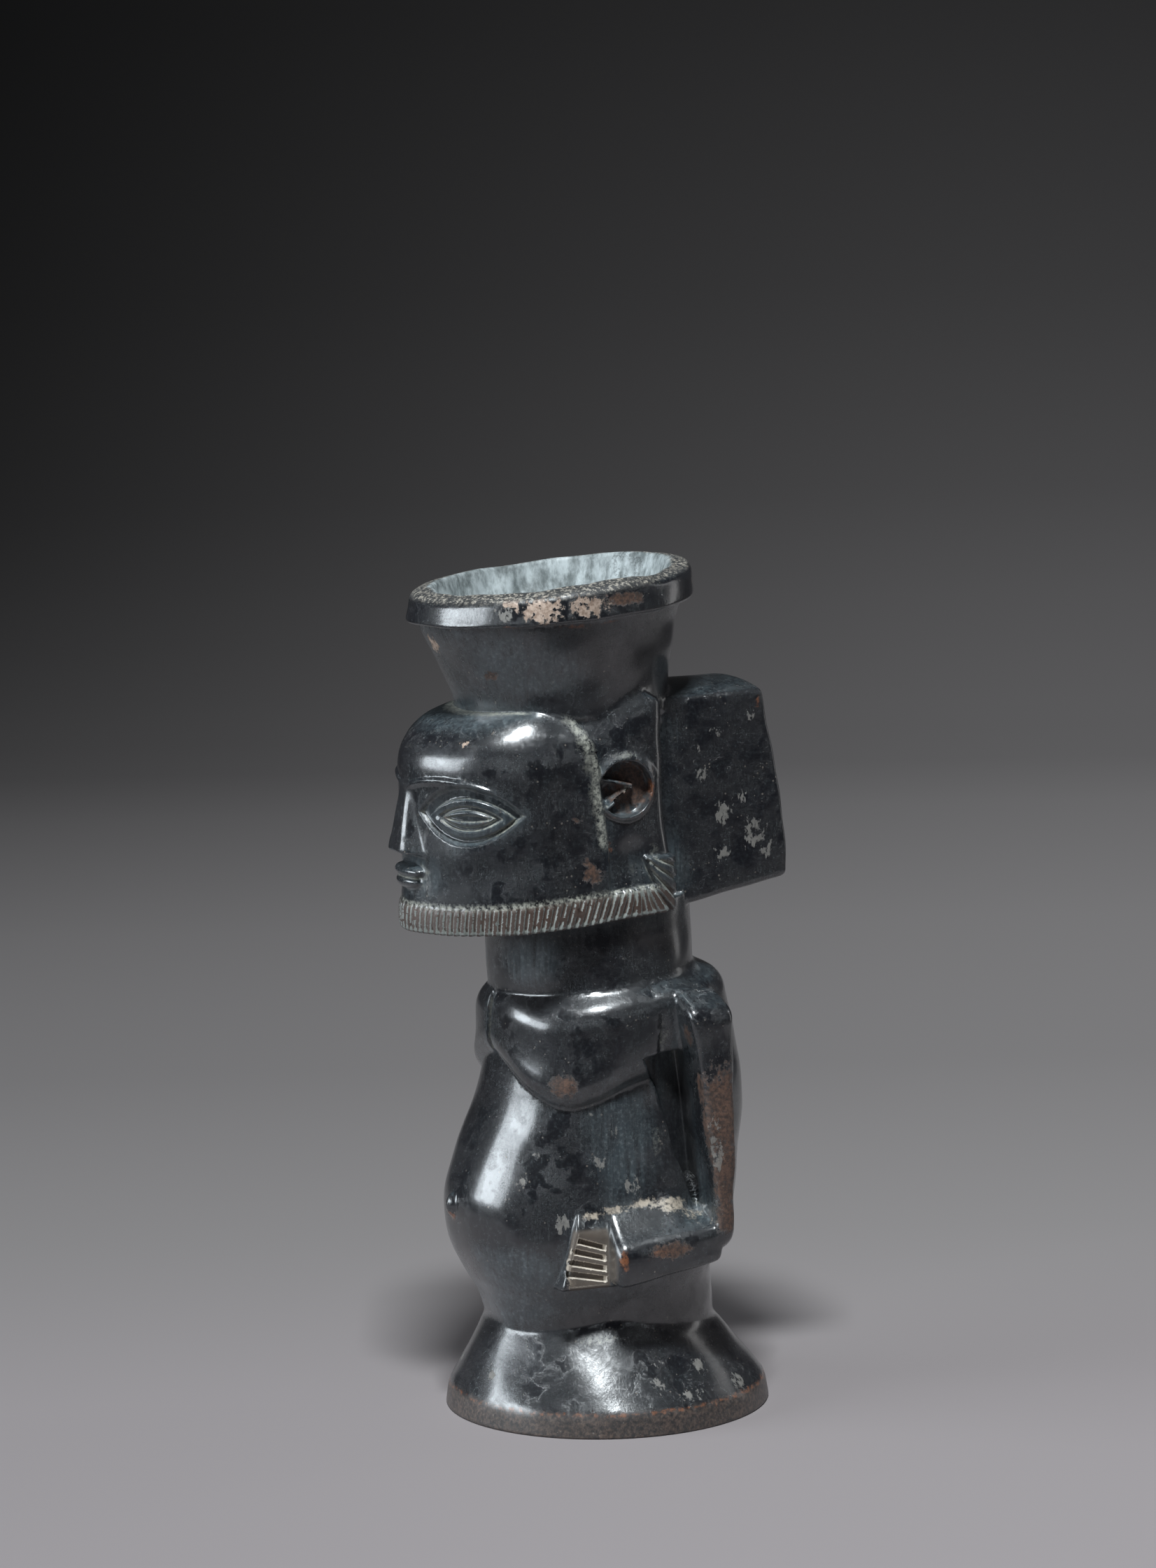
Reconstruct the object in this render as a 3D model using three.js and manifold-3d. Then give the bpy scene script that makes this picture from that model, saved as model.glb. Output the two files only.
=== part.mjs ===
import * as THREE from 'three';
import { mergeVertices } from 'three/addons/utils/BufferGeometryUtils.js';
import { ConvexGeometry } from 'three/addons/geometries/ConvexGeometry.js';
import Module from 'manifold-3d';

// A cup carved with its figure from one block of wood: a half figure on a flared round foot
// holds its belly and carries the cup on its head. Millimetres, Z up. The figure faces -Y, its
// left arm is on the +X side, and the origin is the middle of the flat underside.

// Flared foot: a disc with an upright edge, and a straight flare up to the waist.
const FOOT_RADIUS = 34.4;
const FOOT_EDGE_RADIUS = 33.7;
const FOOT_EDGE_HEIGHT = 4.5;
const WAIST_Z = 18.8;
const WAIST_HALF_WIDTH = 21.6;
const WAIST_FRONT_Y = -26.3;
const WAIST_BACK_Y = 21.2;
const WAIST_SIDE_LIFT = 4.4;

// Neck, and the crease where it rises out of the shoulders, which is higher at the back.
const NECK_RADIUS = 21.8;
const NECK_Y = -2.1;
const COLLAR_Z = 92.1;
const COLLAR_SLOPE = 0.1;

// Breasts: a raised shield on each side of the chest that ends in a blunt point.
const BREAST_RISE = 2.3;
const BREAST_POINT_Z = 67.4;
const BREAST_BEARING = THREE.MathUtils.degToRad(-38);

// Arms: square in section. A slot as deep as ARM_INNER_X parts the upper arm from the torso.
const ARM_OUTER_X = 32.6;
const ARM_INNER_X = 16.5;
const ARM_BACK_Y = 16.8;
const ELBOW_FRONT_Y = 12.3;
const WRIST_Y = -9.2;
const WRIST_OUTER_X = 31.2;
const FINGERTIP_Y = -17.3;
const HAND_OUTER_X = 25.9;
const HAND_LOW_Z = 30.4;
const FINGER_PITCH = 2.5;
const FINGER_GROOVE = 1.1;

// Head: round in front, straight-sided towards the ears, with a fringe of beard and a block of
// hair behind. The face is set out in thirds between the crown's edge and the chin, and in
// fifths along the face from ear to ear.
const HEAD_HALF_WIDTH = 24.6;
const HEAD_FRONT_Y = -42.6;
const HEAD_MIDDLE_Y = -18;
const HEAD_BACK_Y = 6.3;
const NAPE_SLOPE = 0.09;
const HAIRLINE_Z = 149.6;
const CHIN_Z = 106.4;
const FACE_THIRD = (HAIRLINE_Z - CHIN_Z) / 3;
const BROW_Z = HAIRLINE_Z - FACE_THIRD;
const NOSE_BASE_Z = CHIN_Z + FACE_THIRD;
const MOUTH_Z = NOSE_BASE_Z - FACE_THIRD / 3;
const EYE_Z = (HAIRLINE_Z + CHIN_Z) / 2 + 1.2;
const EYE_WIDTH = 19;
const BEARD_RISE = 1.3;
const BEARD_HEIGHT = 5.2;
const BEARD_FRONT_Z = 104.4;
const BEARD_SLOPE = 0.065;
const BEARD_BACK_Y = 8.6;
const BEARD_NOTCH_PITCH = 1.8;
const BEARD_NOTCH_DEPTH = 0.7;
const EAR_X = 23.5;
const EAR_Y = -2.8;
const EAR_Z = 134;
const EAR_RADIUS = 7;
const EAR_RIM = 1.5;
const BLOCK_HALF_WIDTH = 14.6;
const BLOCK_BEVEL = 1.2;

// Cup: a cone that leans forward, with a raised band under its lip.
const CUP_FOOT_Z = 149.6;
const CUP_FOOT_Y = -7.1;
const CUP_FOOT_RADIUS = 22.3;
const CUP_HEIGHT = 26.8;
const CUP_NECK_RADIUS = 27.3;
const CUP_BAND_RADIUS = 29.9;
const CUP_LIP_RADIUS = 28.8;
const CUP_BAND_HEIGHT = 7.2;
const CUP_WALL = 3.6;
const CUP_DEPTH = 22;
const CUP_SHIFT = -2.1;
const CUP_LEAN = 0.1;

const WOOD = new THREE.MeshStandardMaterial({ color: 0x1b1714, roughness: 0.36, metalness: 0 });

const wasm = await Module();
wasm.setup();

function solidFrom(geometry) {
  const shape = geometry.clone();
  shape.deleteAttribute('normal');
  shape.deleteAttribute('uv');
  const merged = mergeVertices(shape, 1e-4);
  return new wasm.Manifold(new wasm.Mesh({
    numProp: 3,
    vertProperties: new Float32Array(merged.attributes.position.array),
    triVerts: new Uint32Array(merged.index.array),
  }));
}

function geometryFrom(solid) {
  const mesh = solid.getMesh();
  const geometry = new THREE.BufferGeometry();
  geometry.setAttribute('position', new THREE.BufferAttribute(mesh.vertProperties, 3));
  geometry.setIndex(new THREE.BufferAttribute(mesh.triVerts, 1));
  geometry.computeVertexNormals();
  return geometry;
}

function join(solids) {
  return solids.reduce((whole, solid) => whole.add(solid));
}

// A closed skin over a stack of rings, each a list of points, with a flat fan on both ends. The
// rings run anticlockwise seen from the last one.
function skin(rings) {
  const count = rings[0].length;
  const points = rings.flat();
  const faces = [];
  for (let level = 0; level + 1 < rings.length; level += 1) {
    for (let k = 0; k < count; k += 1) {
      const next = (k + 1) % count;
      const low = level * count;
      const high = low + count;
      faces.push(low + k, low + next, high + next, low + k, high + next, high + k);
    }
  }
  for (const [start, step] of [[0, -1], [(rings.length - 1) * count, 1]]) {
    const middle = new THREE.Vector3();
    for (let k = 0; k < count; k += 1) middle.addScaledVector(points[start + k], 1 / count);
    points.push(middle);
    for (let k = 0; k < count; k += 1) {
      const next = (k + 1) % count;
      const [a, b] = step > 0 ? [k, next] : [next, k];
      faces.push(start + a, start + b, points.length - 1);
    }
  }
  const geometry = new THREE.BufferGeometry().setFromPoints(points);
  geometry.setIndex(faces);
  return solidFrom(geometry);
}

// The same piece on the figure's other side.
function mirrored(solid) {
  const geometry = geometryFrom(solid);
  geometry.scale(-1, 1, 1);
  const order = geometry.index.array;
  for (let k = 0; k < order.length; k += 3) [order[k], order[k + 1]] = [order[k + 1], order[k]];
  return solidFrom(geometry);
}

function bothSides(solid) {
  return [solid, mirrored(solid)];
}

// One level of the log: an oval whose front and back half have their own depth. A power over 2
// makes it squarer, slope lifts it towards the back, lift raises its sides, and grow moves its
// outline outwards.
function oval({ z, y, half, front, back, power = 2, slope = 0, lift = 0, grow = 0 }, count = 44) {
  return Array.from({ length: count }, (_, k) => {
    const turn = (2 * Math.PI * k) / count;
    const across = Math.sign(Math.cos(turn)) * Math.abs(Math.cos(turn)) ** (2 / power);
    const along = Math.sign(Math.sin(turn)) * Math.abs(Math.sin(turn)) ** (2 / power);
    const depth = (along < 0 ? y - front : back - y) + grow;
    const rise = slope * depth * along + lift * across * across;
    return new THREE.Vector3((half + grow) * across, y + depth * along, z + rise);
  });
}

function round(z, y, radius, slope = 0) {
  return { z, y, half: radius, front: y - radius, back: y + radius, slope };
}

// The torso's levels: waist, round belly, narrower under the breasts, and the sloping shoulders.
const TORSO = [
  { z: 25.8, half: 22.3, front: -27.5, back: 20.5, lift: 0.6 },
  { z: 30, half: 23.5, front: -29.9, back: 21.6 },
  { z: 34, half: 24.3, front: -31.9, back: 23.8 },
  { z: 38, half: 24.5, front: -33.3, back: 25.8 },
  { z: 42, half: 24.4, front: -34, back: 27 },
  { z: 46, half: 24.1, front: -33.9, back: 27.6 },
  { z: 50, half: 23.8, front: -33.2, back: 28.2 },
  { z: 55, half: 23.4, front: -31.2, back: 29 },
  { z: 60, half: 23.1, front: -28.8, back: 29.8 },
  { z: 65, half: 22.8, front: -26.7, back: 30.2 },
  { z: 70, half: 22.7, front: -25, back: 29.9 },
  { z: 76, half: 22.8, front: -23.6, back: 28.8 },
  { z: 82, half: 23.2, front: -23, back: 27.4 },
  { z: 86, half: 23.6, front: -22.9, back: 26.3, slope: 0.05 },
  { z: 89.2, half: 23.2, front: -22.6, back: 23, slope: 0.08 },
].map((level) => ({ y: -2, power: 2.4, ...level }));

function makeLog() {
  const foot = [
    round(0, 0, FOOT_RADIUS),
    round(FOOT_EDGE_HEIGHT, 0, FOOT_EDGE_RADIUS),
    {
      z: WAIST_Z,
      y: (WAIST_FRONT_Y + WAIST_BACK_Y) / 2,
      half: WAIST_HALF_WIDTH,
      front: WAIST_FRONT_Y,
      back: WAIST_BACK_Y,
      lift: WAIST_SIDE_LIFT,
    },
  ];
  const neck = [
    round(COLLAR_Z, NECK_Y, NECK_RADIUS, COLLAR_SLOPE),
    round(100, NECK_Y, NECK_RADIUS - 0.2, 0.05),
    round(112, NECK_Y - 0.4, NECK_RADIUS, 0.05),
  ];
  return skin([...foot, ...TORSO, ...neck].map((level) => oval(level)));
}

// One shield: the chest grown outwards, thinner towards its point, kept inside a V.
function makeBreast() {
  const levels = TORSO.filter((level) => level.z >= 65 && level.z < 89);
  const rise = (z) => BREAST_RISE * THREE.MathUtils.smoothstep(z, 56, 80);
  const grown = levels.map((level) => oval({ ...level, grow: rise(level.z) }));
  const edge = oval({ ...TORSO.at(-1), z: 88.2, grow: BREAST_RISE - 0.1 });
  const top = oval({ ...TORSO.at(-1), z: 90.8, grow: -1 });
  const outline = new THREE.Shape();
  outline.moveTo(-19.5, 95);
  outline.lineTo(-19.5, 82.4);
  outline.lineTo(-9.5, 73.4);
  outline.quadraticCurveTo(-4.6, BREAST_POINT_Z + 0.4, 0, BREAST_POINT_Z);
  outline.quadraticCurveTo(5, BREAST_POINT_Z, 9.5, 69.8);
  outline.lineTo(22, 77.8);
  outline.lineTo(22, 95);
  const prism = new THREE.ExtrudeGeometry(outline, { depth: 40, bevelEnabled: false, curveSegments: 4 });
  prism.rotateX(Math.PI / 2);
  prism.rotateZ(Math.PI / 2 + BREAST_BEARING);
  prism.translate(0, -2, 0);
  return skin([...grown, edge, top]).intersect(solidFrom(prism));
}

// The crease between the breasts.
function makeCleavage() {
  const points = [76, 90].flatMap((z) => [[-1.3, -28], [1.3, -28], [0, -23.4]].map(([x, y]) => (
    new THREE.Vector3(x, y, z)
  )));
  return solidFrom(new ConvexGeometry(points));
}

// A ring of a limb: a rectangle in X and Y with its corners taken off.
function squared(z, innerX, outerX, frontY, backY, corner = 0.9, slope = 0) {
  const outline = [
    [innerX, frontY], [outerX - corner, frontY], [outerX, frontY + corner],
    [outerX, backY - corner], [outerX - corner, backY], [innerX, backY],
  ];
  return outline.map(([x, y]) => new THREE.Vector3(x, y, z + slope * (y - backY)));
}

function makeUpperArm() {
  return skin([
    squared(34.6, ARM_INNER_X, ARM_OUTER_X - 1.4, 11.4, 13.2),
    squared(35.8, ARM_INNER_X, ARM_OUTER_X - 0.8, 11.9, 15),
    squared(38.4, ARM_INNER_X, ARM_OUTER_X - 0.3, 12.1, 16.3),
    squared(41.6, ARM_INNER_X, ARM_OUTER_X, ELBOW_FRONT_Y, ARM_BACK_Y),
    squared(62, ARM_INNER_X, ARM_OUTER_X, 10.9, ARM_BACK_Y),
    squared(79, ARM_INNER_X, ARM_OUTER_X, 8.6, ARM_BACK_Y + 0.2),
    squared(85.6, ARM_INNER_X, ARM_OUTER_X - 0.3, 7.3, ARM_BACK_Y + 0.3, 1.2, 0.03),
    squared(87.2, ARM_INNER_X, ARM_OUTER_X - 1.8, 6.9, ARM_BACK_Y + 0.1, 1.8, 0.03),
    squared(91.6, ARM_INNER_X, ARM_OUTER_X - 10.4, 6, ARM_BACK_Y - 2.4, 1.2, 0.05),
  ]);
}

// A ring of the forearm in X and Z: upright outside, with its top sloping up to the belly.
function forearmRing(y) {
  const along = (y - WRIST_Y) / (ARM_BACK_Y - WRIST_Y);
  const outerX = THREE.MathUtils.lerp(WRIST_OUTER_X, ARM_OUTER_X, along);
  const low = THREE.MathUtils.lerp(30.9, 35.5, along);
  const brink = THREE.MathUtils.lerp(39.3, 43.3, along);
  const inner = brink + 8.6 - 6.4 * THREE.MathUtils.smoothstep(y, 4, 11.5);
  const outline = [
    [ARM_INNER_X, low], [outerX - 0.9, low], [outerX, low + 0.9], [outerX, brink - 0.5],
    [outerX - 0.6, brink + 0.5], [22.2, inner], [ARM_INNER_X, inner],
  ];
  return outline.map(([x, z]) => new THREE.Vector3(x, y, z));
}

function makeForearm() {
  return skin([15, ELBOW_FRONT_Y, 9, 5, 0, WRIST_Y].map((y) => forearmRing(y)));
}

// The hand lies lower than the wrist, and four grooves part its fingers.
function makeHand() {
  const outline = new THREE.Shape();
  outline.moveTo(18, HAND_LOW_Z);
  outline.lineTo(HAND_OUTER_X - 0.7, HAND_LOW_Z);
  outline.lineTo(HAND_OUTER_X, HAND_LOW_Z + 0.9);
  for (let k = 0; k < 4; k += 1) {
    const z = HAND_LOW_Z + (k + 1) * FINGER_PITCH - 0.3;
    outline.lineTo(HAND_OUTER_X, z - FINGER_GROOVE / 2);
    outline.lineTo(HAND_OUTER_X - 1.1, z);
    outline.lineTo(HAND_OUTER_X, z + FINGER_GROOVE / 2);
  }
  outline.lineTo(HAND_OUTER_X, HAND_LOW_Z + 12);
  outline.lineTo(HAND_OUTER_X - 0.7, HAND_LOW_Z + 12.8);
  outline.lineTo(18, HAND_LOW_Z + 16.6);
  const hidden = 2;
  const hand = new THREE.ExtrudeGeometry(outline, {
    depth: WRIST_Y + hidden - FINGERTIP_Y,
    bevelEnabled: false,
  });
  hand.rotateX(Math.PI / 2);
  hand.translate(0, WRIST_Y + hidden, 0);
  const position = hand.attributes.position;
  for (let k = 0; k < position.count; k += 1) {
    if (position.getY(k) < WRIST_Y && position.getX(k) > 20) position.setX(k, position.getX(k) - 0.8);
  }
  return solidFrom(hand);
}

// The slot between the torso's side and the arm: a wedge, wider at the armpit.
function makeSlot() {
  const outline = new THREE.Shape();
  outline.moveTo(-0.8, 77.7);
  outline.lineTo(9.6, 78.7);
  outline.lineTo(ELBOW_FRONT_Y + 0.9, 43);
  outline.lineTo(12, 43);
  outline.lineTo(9.4, 50);
  outline.lineTo(5.6, 62.5);
  outline.lineTo(3.4, 70);
  const wedge = new THREE.ExtrudeGeometry(outline, { depth: 16, bevelEnabled: false });
  wedge.rotateX(Math.PI / 2);
  wedge.rotateZ(Math.PI / 2);
  wedge.translate(ARM_INNER_X + 0.5, 0, 0);
  return solidFrom(wedge);
}

function ellipsoid(x, y, z, halfX, halfY, halfZ, around = 14, down = 8) {
  const ball = new THREE.SphereGeometry(1, around, down);
  ball.scale(halfX, halfY, halfZ);
  ball.translate(x, y, z);
  return solidFrom(ball);
}

// A level of the head: round in front, square behind, its rim drawn in by an inset.
function headLevel(z, inset, slope, grow = 0, backY = HEAD_BACK_Y + NAPE_SLOPE * (141 - z)) {
  const level = {
    z,
    y: HEAD_MIDDLE_Y,
    half: HEAD_HALF_WIDTH - 0.42 * inset,
    front: HEAD_FRONT_Y + 1.45 * inset,
    back: backY,
    grow,
  };
  const front = oval({ ...level, slope, power: 2 });
  const rearSlope = z > BROW_Z ? 2 * slope : slope;
  const back = oval({ ...level, slope: rearSlope, power: 6 });
  return front.map((point, k) => (point.y < HEAD_MIDDLE_Y ? point : back[k]));
}

function makeSkull() {
  return skin([
    headLevel(106, 0.1, 0.065),
    headLevel(NOSE_BASE_Z, 0.9, 0.06),
    headLevel(BROW_Z - 1.6, 0.8, 0.04),
    headLevel(BROW_Z, 0.2, 0.04),
    headLevel(140, 0.3, 0.04),
    headLevel(144, 1.2, 0.05),
    headLevel(147, 3, 0.05),
    headLevel(149, 5.6, 0.06),
    headLevel(150, 8.6, 0.06),
  ]);
}

// The eye is a low lens on the round of the face, its middle one eye's width from the nose line.
function makeEye() {
  const lens = new THREE.SphereGeometry(1, 16, 8);
  lens.scale(EYE_WIDTH / 2, 1.3, 3.6);
  const turn = EYE_WIDTH / HEAD_HALF_WIDTH;
  const reach = HEAD_MIDDLE_Y - HEAD_FRONT_Y - 1.2;
  lens.rotateZ(turn);
  lens.translate(reach * Math.sin(turn), HEAD_MIDDLE_Y - reach * Math.cos(turn), EYE_Z);
  return solidFrom(lens);
}

function makeNose() {
  const halfWidth = 3.8;
  const tip = HEAD_FRONT_Y - 2.8;
  const points = [
    new THREE.Vector3(-1.1, HEAD_FRONT_Y - 0.3, BROW_Z - 1.5),
    new THREE.Vector3(1.1, HEAD_FRONT_Y - 0.3, BROW_Z - 1.5),
    new THREE.Vector3(-1.2, tip, NOSE_BASE_Z + 1.2),
    new THREE.Vector3(1.2, tip, NOSE_BASE_Z + 1.2),
    new THREE.Vector3(-halfWidth, HEAD_FRONT_Y, NOSE_BASE_Z),
    new THREE.Vector3(halfWidth, HEAD_FRONT_Y, NOSE_BASE_Z),
    new THREE.Vector3(-halfWidth, HEAD_FRONT_Y + 3, NOSE_BASE_Z),
    new THREE.Vector3(halfWidth, HEAD_FRONT_Y + 3, NOSE_BASE_Z),
    new THREE.Vector3(0, HEAD_FRONT_Y + 3, BROW_Z),
  ];
  return solidFrom(new ConvexGeometry(points));
}

function makeLips() {
  const upper = ellipsoid(0, HEAD_FRONT_Y + 1, MOUTH_Z + 0.9, 6, 2.7, 1.2);
  const lower = ellipsoid(0, HEAD_FRONT_Y + 1, MOUTH_Z - 0.9, 5.4, 2.5, 1.2);
  return [upper, lower];
}

// The fringe of beard: a strip round the jaw whose outline dips in at every notch.
function makeBeard() {
  const [ridge, groove] = [BEARD_RISE, BEARD_RISE - BEARD_NOTCH_DEPTH].map((rise) => (
    new THREE.CatmullRomCurve3(headLevel(0, 0.4, 0, rise, BEARD_BACK_Y), true)
  ));
  const corners = 3;
  const count = Math.round(ridge.getLength() / BEARD_NOTCH_PITCH) * corners;
  const points = Array.from({ length: count }, (_, k) => (
    (k % corners ? ridge : groove).getPointAt(k / count)
  ));
  const ring = (z) => points.map((point) => (
    new THREE.Vector3(point.x, point.y, z + BEARD_SLOPE * (point.y - HEAD_FRONT_Y))
  ));
  return skin([ring(BEARD_FRONT_Z), ring(BEARD_FRONT_Z + BEARD_HEIGHT)]);
}

// An ear: a round bowl let into the head, with a raised rim that is open towards the face.
function makeEar() {
  const profile = [
    [EAR_RADIUS - EAR_RIM, -2], [EAR_RADIUS, -2], [EAR_RADIUS, 0.7], [EAR_RADIUS - 0.7, 1.3],
    [EAR_RADIUS - EAR_RIM + 0.2, 1], [EAR_RADIUS - EAR_RIM, -2],
  ].map(([radius, rise]) => new THREE.Vector2(radius, rise));
  const rim = new THREE.LatheGeometry(profile, 24);
  rim.rotateZ(-Math.PI / 2);
  rim.translate(EAR_X, EAR_Y, EAR_Z);
  const mouth = new THREE.BoxGeometry(6, 4, 9);
  mouth.translate(EAR_X + 2.4, EAR_Y - 7.6, EAR_Z - 0.2);
  return solidFrom(rim).subtract(solidFrom(mouth));
}

function makeEarBowl() {
  const bowl = new THREE.CylinderGeometry(EAR_RADIUS - EAR_RIM + 0.1, EAR_RADIUS - EAR_RIM - 0.4, 4, 24);
  bowl.rotateZ(-Math.PI / 2);
  bowl.translate(EAR_X + 0.4, EAR_Y, EAR_Z);
  return solidFrom(bowl);
}

// The three-cornered peg in the ear's bowl.
function makeEarPeg() {
  const corners = [[-5.6, 2.2], [1.4, 0.4], [-5, -4.2]];
  const points = corners.flatMap(([y, z]) => [EAR_X - 3, EAR_X + 0.4].map((x) => (
    new THREE.Vector3(x, EAR_Y + y, EAR_Z + z)
  )));
  return solidFrom(new ConvexGeometry(points));
}

// The block of hair: flat-sided and narrower than the head, its back edge leaning out below.
function makeHairBlock() {
  const outline = new THREE.Shape();
  outline.moveTo(4, 106.8);
  outline.lineTo(12.4, 108.2);
  outline.lineTo(36.5, 112.2);
  outline.lineTo(34.7, 131);
  outline.lineTo(31.1, 151);
  outline.lineTo(14, 150.7);
  outline.lineTo(4, 149);
  const block = new THREE.ExtrudeGeometry(outline, {
    depth: 2 * (BLOCK_HALF_WIDTH - BLOCK_BEVEL),
    bevelThickness: BLOCK_BEVEL,
    bevelSize: BLOCK_BEVEL,
    bevelSegments: 2,
  });
  block.rotateX(Math.PI / 2);
  block.rotateZ(Math.PI / 2);
  block.translate(-(BLOCK_HALF_WIDTH - BLOCK_BEVEL), 0, 0);
  return solidFrom(block);
}

// The cup as a lathe profile that is then pushed forward and leant as it rises.
function makeCup() {
  const outside = [
    [0, -1.8], [CUP_FOOT_RADIUS - 1, -1.8], [CUP_FOOT_RADIUS, -1], [CUP_FOOT_RADIUS, 1.2],
    [CUP_FOOT_RADIUS + 1, 6], [CUP_NECK_RADIUS - 1.3, 15],
    [CUP_NECK_RADIUS, CUP_HEIGHT - CUP_BAND_HEIGHT],
    [CUP_BAND_RADIUS, CUP_HEIGHT - CUP_BAND_HEIGHT + 0.9], [CUP_BAND_RADIUS - 0.4, CUP_HEIGHT - 2.6],
    [CUP_LIP_RADIUS, CUP_HEIGHT - 0.6], [CUP_LIP_RADIUS - 0.9, CUP_HEIGHT],
  ];
  const inside = [
    [CUP_LIP_RADIUS - CUP_WALL, CUP_HEIGHT - 0.5], [CUP_LIP_RADIUS - CUP_WALL - 1.4, CUP_HEIGHT - 6],
    [17, CUP_HEIGHT - CUP_DEPTH + 4], [13, CUP_HEIGHT - CUP_DEPTH + 0.8], [0, CUP_HEIGHT - CUP_DEPTH],
  ];
  const profile = [...outside, ...inside].map(([radius, rise]) => new THREE.Vector2(radius, rise));
  const cup = new THREE.LatheGeometry(profile, 44);
  cup.rotateX(Math.PI / 2);
  const position = cup.attributes.position;
  for (let k = 0; k < position.count; k += 1) {
    const risen = Math.max(position.getZ(k), 0) / CUP_HEIGHT;
    const y = position.getY(k);
    position.setY(k, y + CUP_FOOT_Y + CUP_SHIFT * risen);
    position.setZ(k, position.getZ(k) + CUP_FOOT_Z + CUP_LEAN * risen * y);
  }
  return solidFrom(cup);
}

const body = join([makeLog(), ...bothSides(makeBreast())])
  .subtract(join([...bothSides(makeSlot()), makeCleavage()]))
  .add(join([...bothSides(makeUpperArm()), ...bothSides(makeForearm()), ...bothSides(makeHand())]))
  .add(ellipsoid(0, -33.3, 45.3, 1.7, 2, 2.6, 12, 8));
const skull = makeSkull().subtract(join(bothSides(makeEarBowl())));
const head = join([
  skull, makeBeard(), makeHairBlock(), makeNose(), ...makeLips(), ...bothSides(makeEye()),
  ...bothSides(makeEar()), ...bothSides(makeEarPeg()),
]);

const figure = new THREE.Mesh(geometryFrom(join([body, head, makeCup()])), WOOD);
figure.name = 'figure_cup';

const group = new THREE.Group();
group.add(figure);
export default group;
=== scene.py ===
import bmesh
import bpy
import numpy as np
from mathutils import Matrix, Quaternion, Vector


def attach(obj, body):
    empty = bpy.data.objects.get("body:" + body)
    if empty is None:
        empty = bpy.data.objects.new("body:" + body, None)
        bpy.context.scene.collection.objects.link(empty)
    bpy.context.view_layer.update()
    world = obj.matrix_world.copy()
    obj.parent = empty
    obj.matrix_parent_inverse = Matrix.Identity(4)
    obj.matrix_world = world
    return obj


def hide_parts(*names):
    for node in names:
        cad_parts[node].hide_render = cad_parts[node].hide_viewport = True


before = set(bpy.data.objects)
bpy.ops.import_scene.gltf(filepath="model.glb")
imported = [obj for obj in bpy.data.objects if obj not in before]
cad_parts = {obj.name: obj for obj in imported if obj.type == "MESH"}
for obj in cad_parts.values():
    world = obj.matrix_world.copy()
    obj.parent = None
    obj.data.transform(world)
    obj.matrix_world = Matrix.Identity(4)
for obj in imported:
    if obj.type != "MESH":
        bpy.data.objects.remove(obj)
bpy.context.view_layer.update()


# The foot is the lower end of the block, a disc whose upright edge turns over a worn arris into
# a straight flare. Like everything here it is described by how far a point lies outside it, in
# millimetres, and only the left half is written: x is the distance from the middle plane.
def soft_min(a, b, reach):
    near = np.clip(0.5 + 0.5 * (b - a) / reach, 0, 1)
    return b + (a - b) * near - reach * near * (1 - near)


def soft_max(a, b, reach):
    return -soft_min(-a, -b, reach)


def ramp(value, low, high):
    part = np.clip((value - low) / (high - low), 0, 1)
    return part * part * (3 - 2 * part)


def glide(value, stations):
    """A smooth curve through the (place, height) pairs, straight beyond them."""
    place, height = np.array(stations, dtype=float).T
    slope = np.diff(height) / np.diff(place)
    tangent = np.concatenate([slope[:1], (slope[1:] + slope[:-1]) / 2, slope[-1:]])
    k = np.clip(np.searchsorted(place, value) - 1, 0, len(slope) - 1)
    span = place[k + 1] - place[k]
    t = (value - place[k]) / span
    inside = np.clip(t, 0, 1)
    curve = (
        height[k] * (1 + 2 * inside) * (1 - inside) ** 2
        + height[k + 1] * inside**2 * (3 - 2 * inside)
        + span * inside * (1 - inside) * (tangent[k] * (1 - inside) - tangent[k + 1] * inside)
    )
    return curve + (t - inside) * span * np.where(t > 1, tangent[k + 1], tangent[k])


FOOT_RADIUS = 34.4
FOOT_EDGE_HEIGHT = 4.5
FLARE_RADIUS = 33.7
FLARE_SLOPE = 0.647
FLARE_COSINE = 0.84
FLARE_NARROWING = 0.0054
FOOT_EDGE_LEAN = 0.16
WAIST_Z = 20.1
WAIST_Y = -2.4


def foot(x, y, z):
    up = z - FOOT_EDGE_HEIGHT
    middle_y = WAIST_Y * np.clip(up / (WAIST_Z - FOOT_EDGE_HEIGHT), 0, 1.4)
    across = x * (1 + FLARE_NARROWING * np.maximum(up, 0))
    flare = FLARE_COSINE * (np.hypot(across, y - middle_y) - FLARE_RADIUS + FLARE_SLOPE * up)
    edge = np.hypot(x, y) - (FOOT_RADIUS - FOOT_EDGE_LEAN * z)
    return soft_max(soft_max(flare, edge, 0.6), -z, 0.6)


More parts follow.
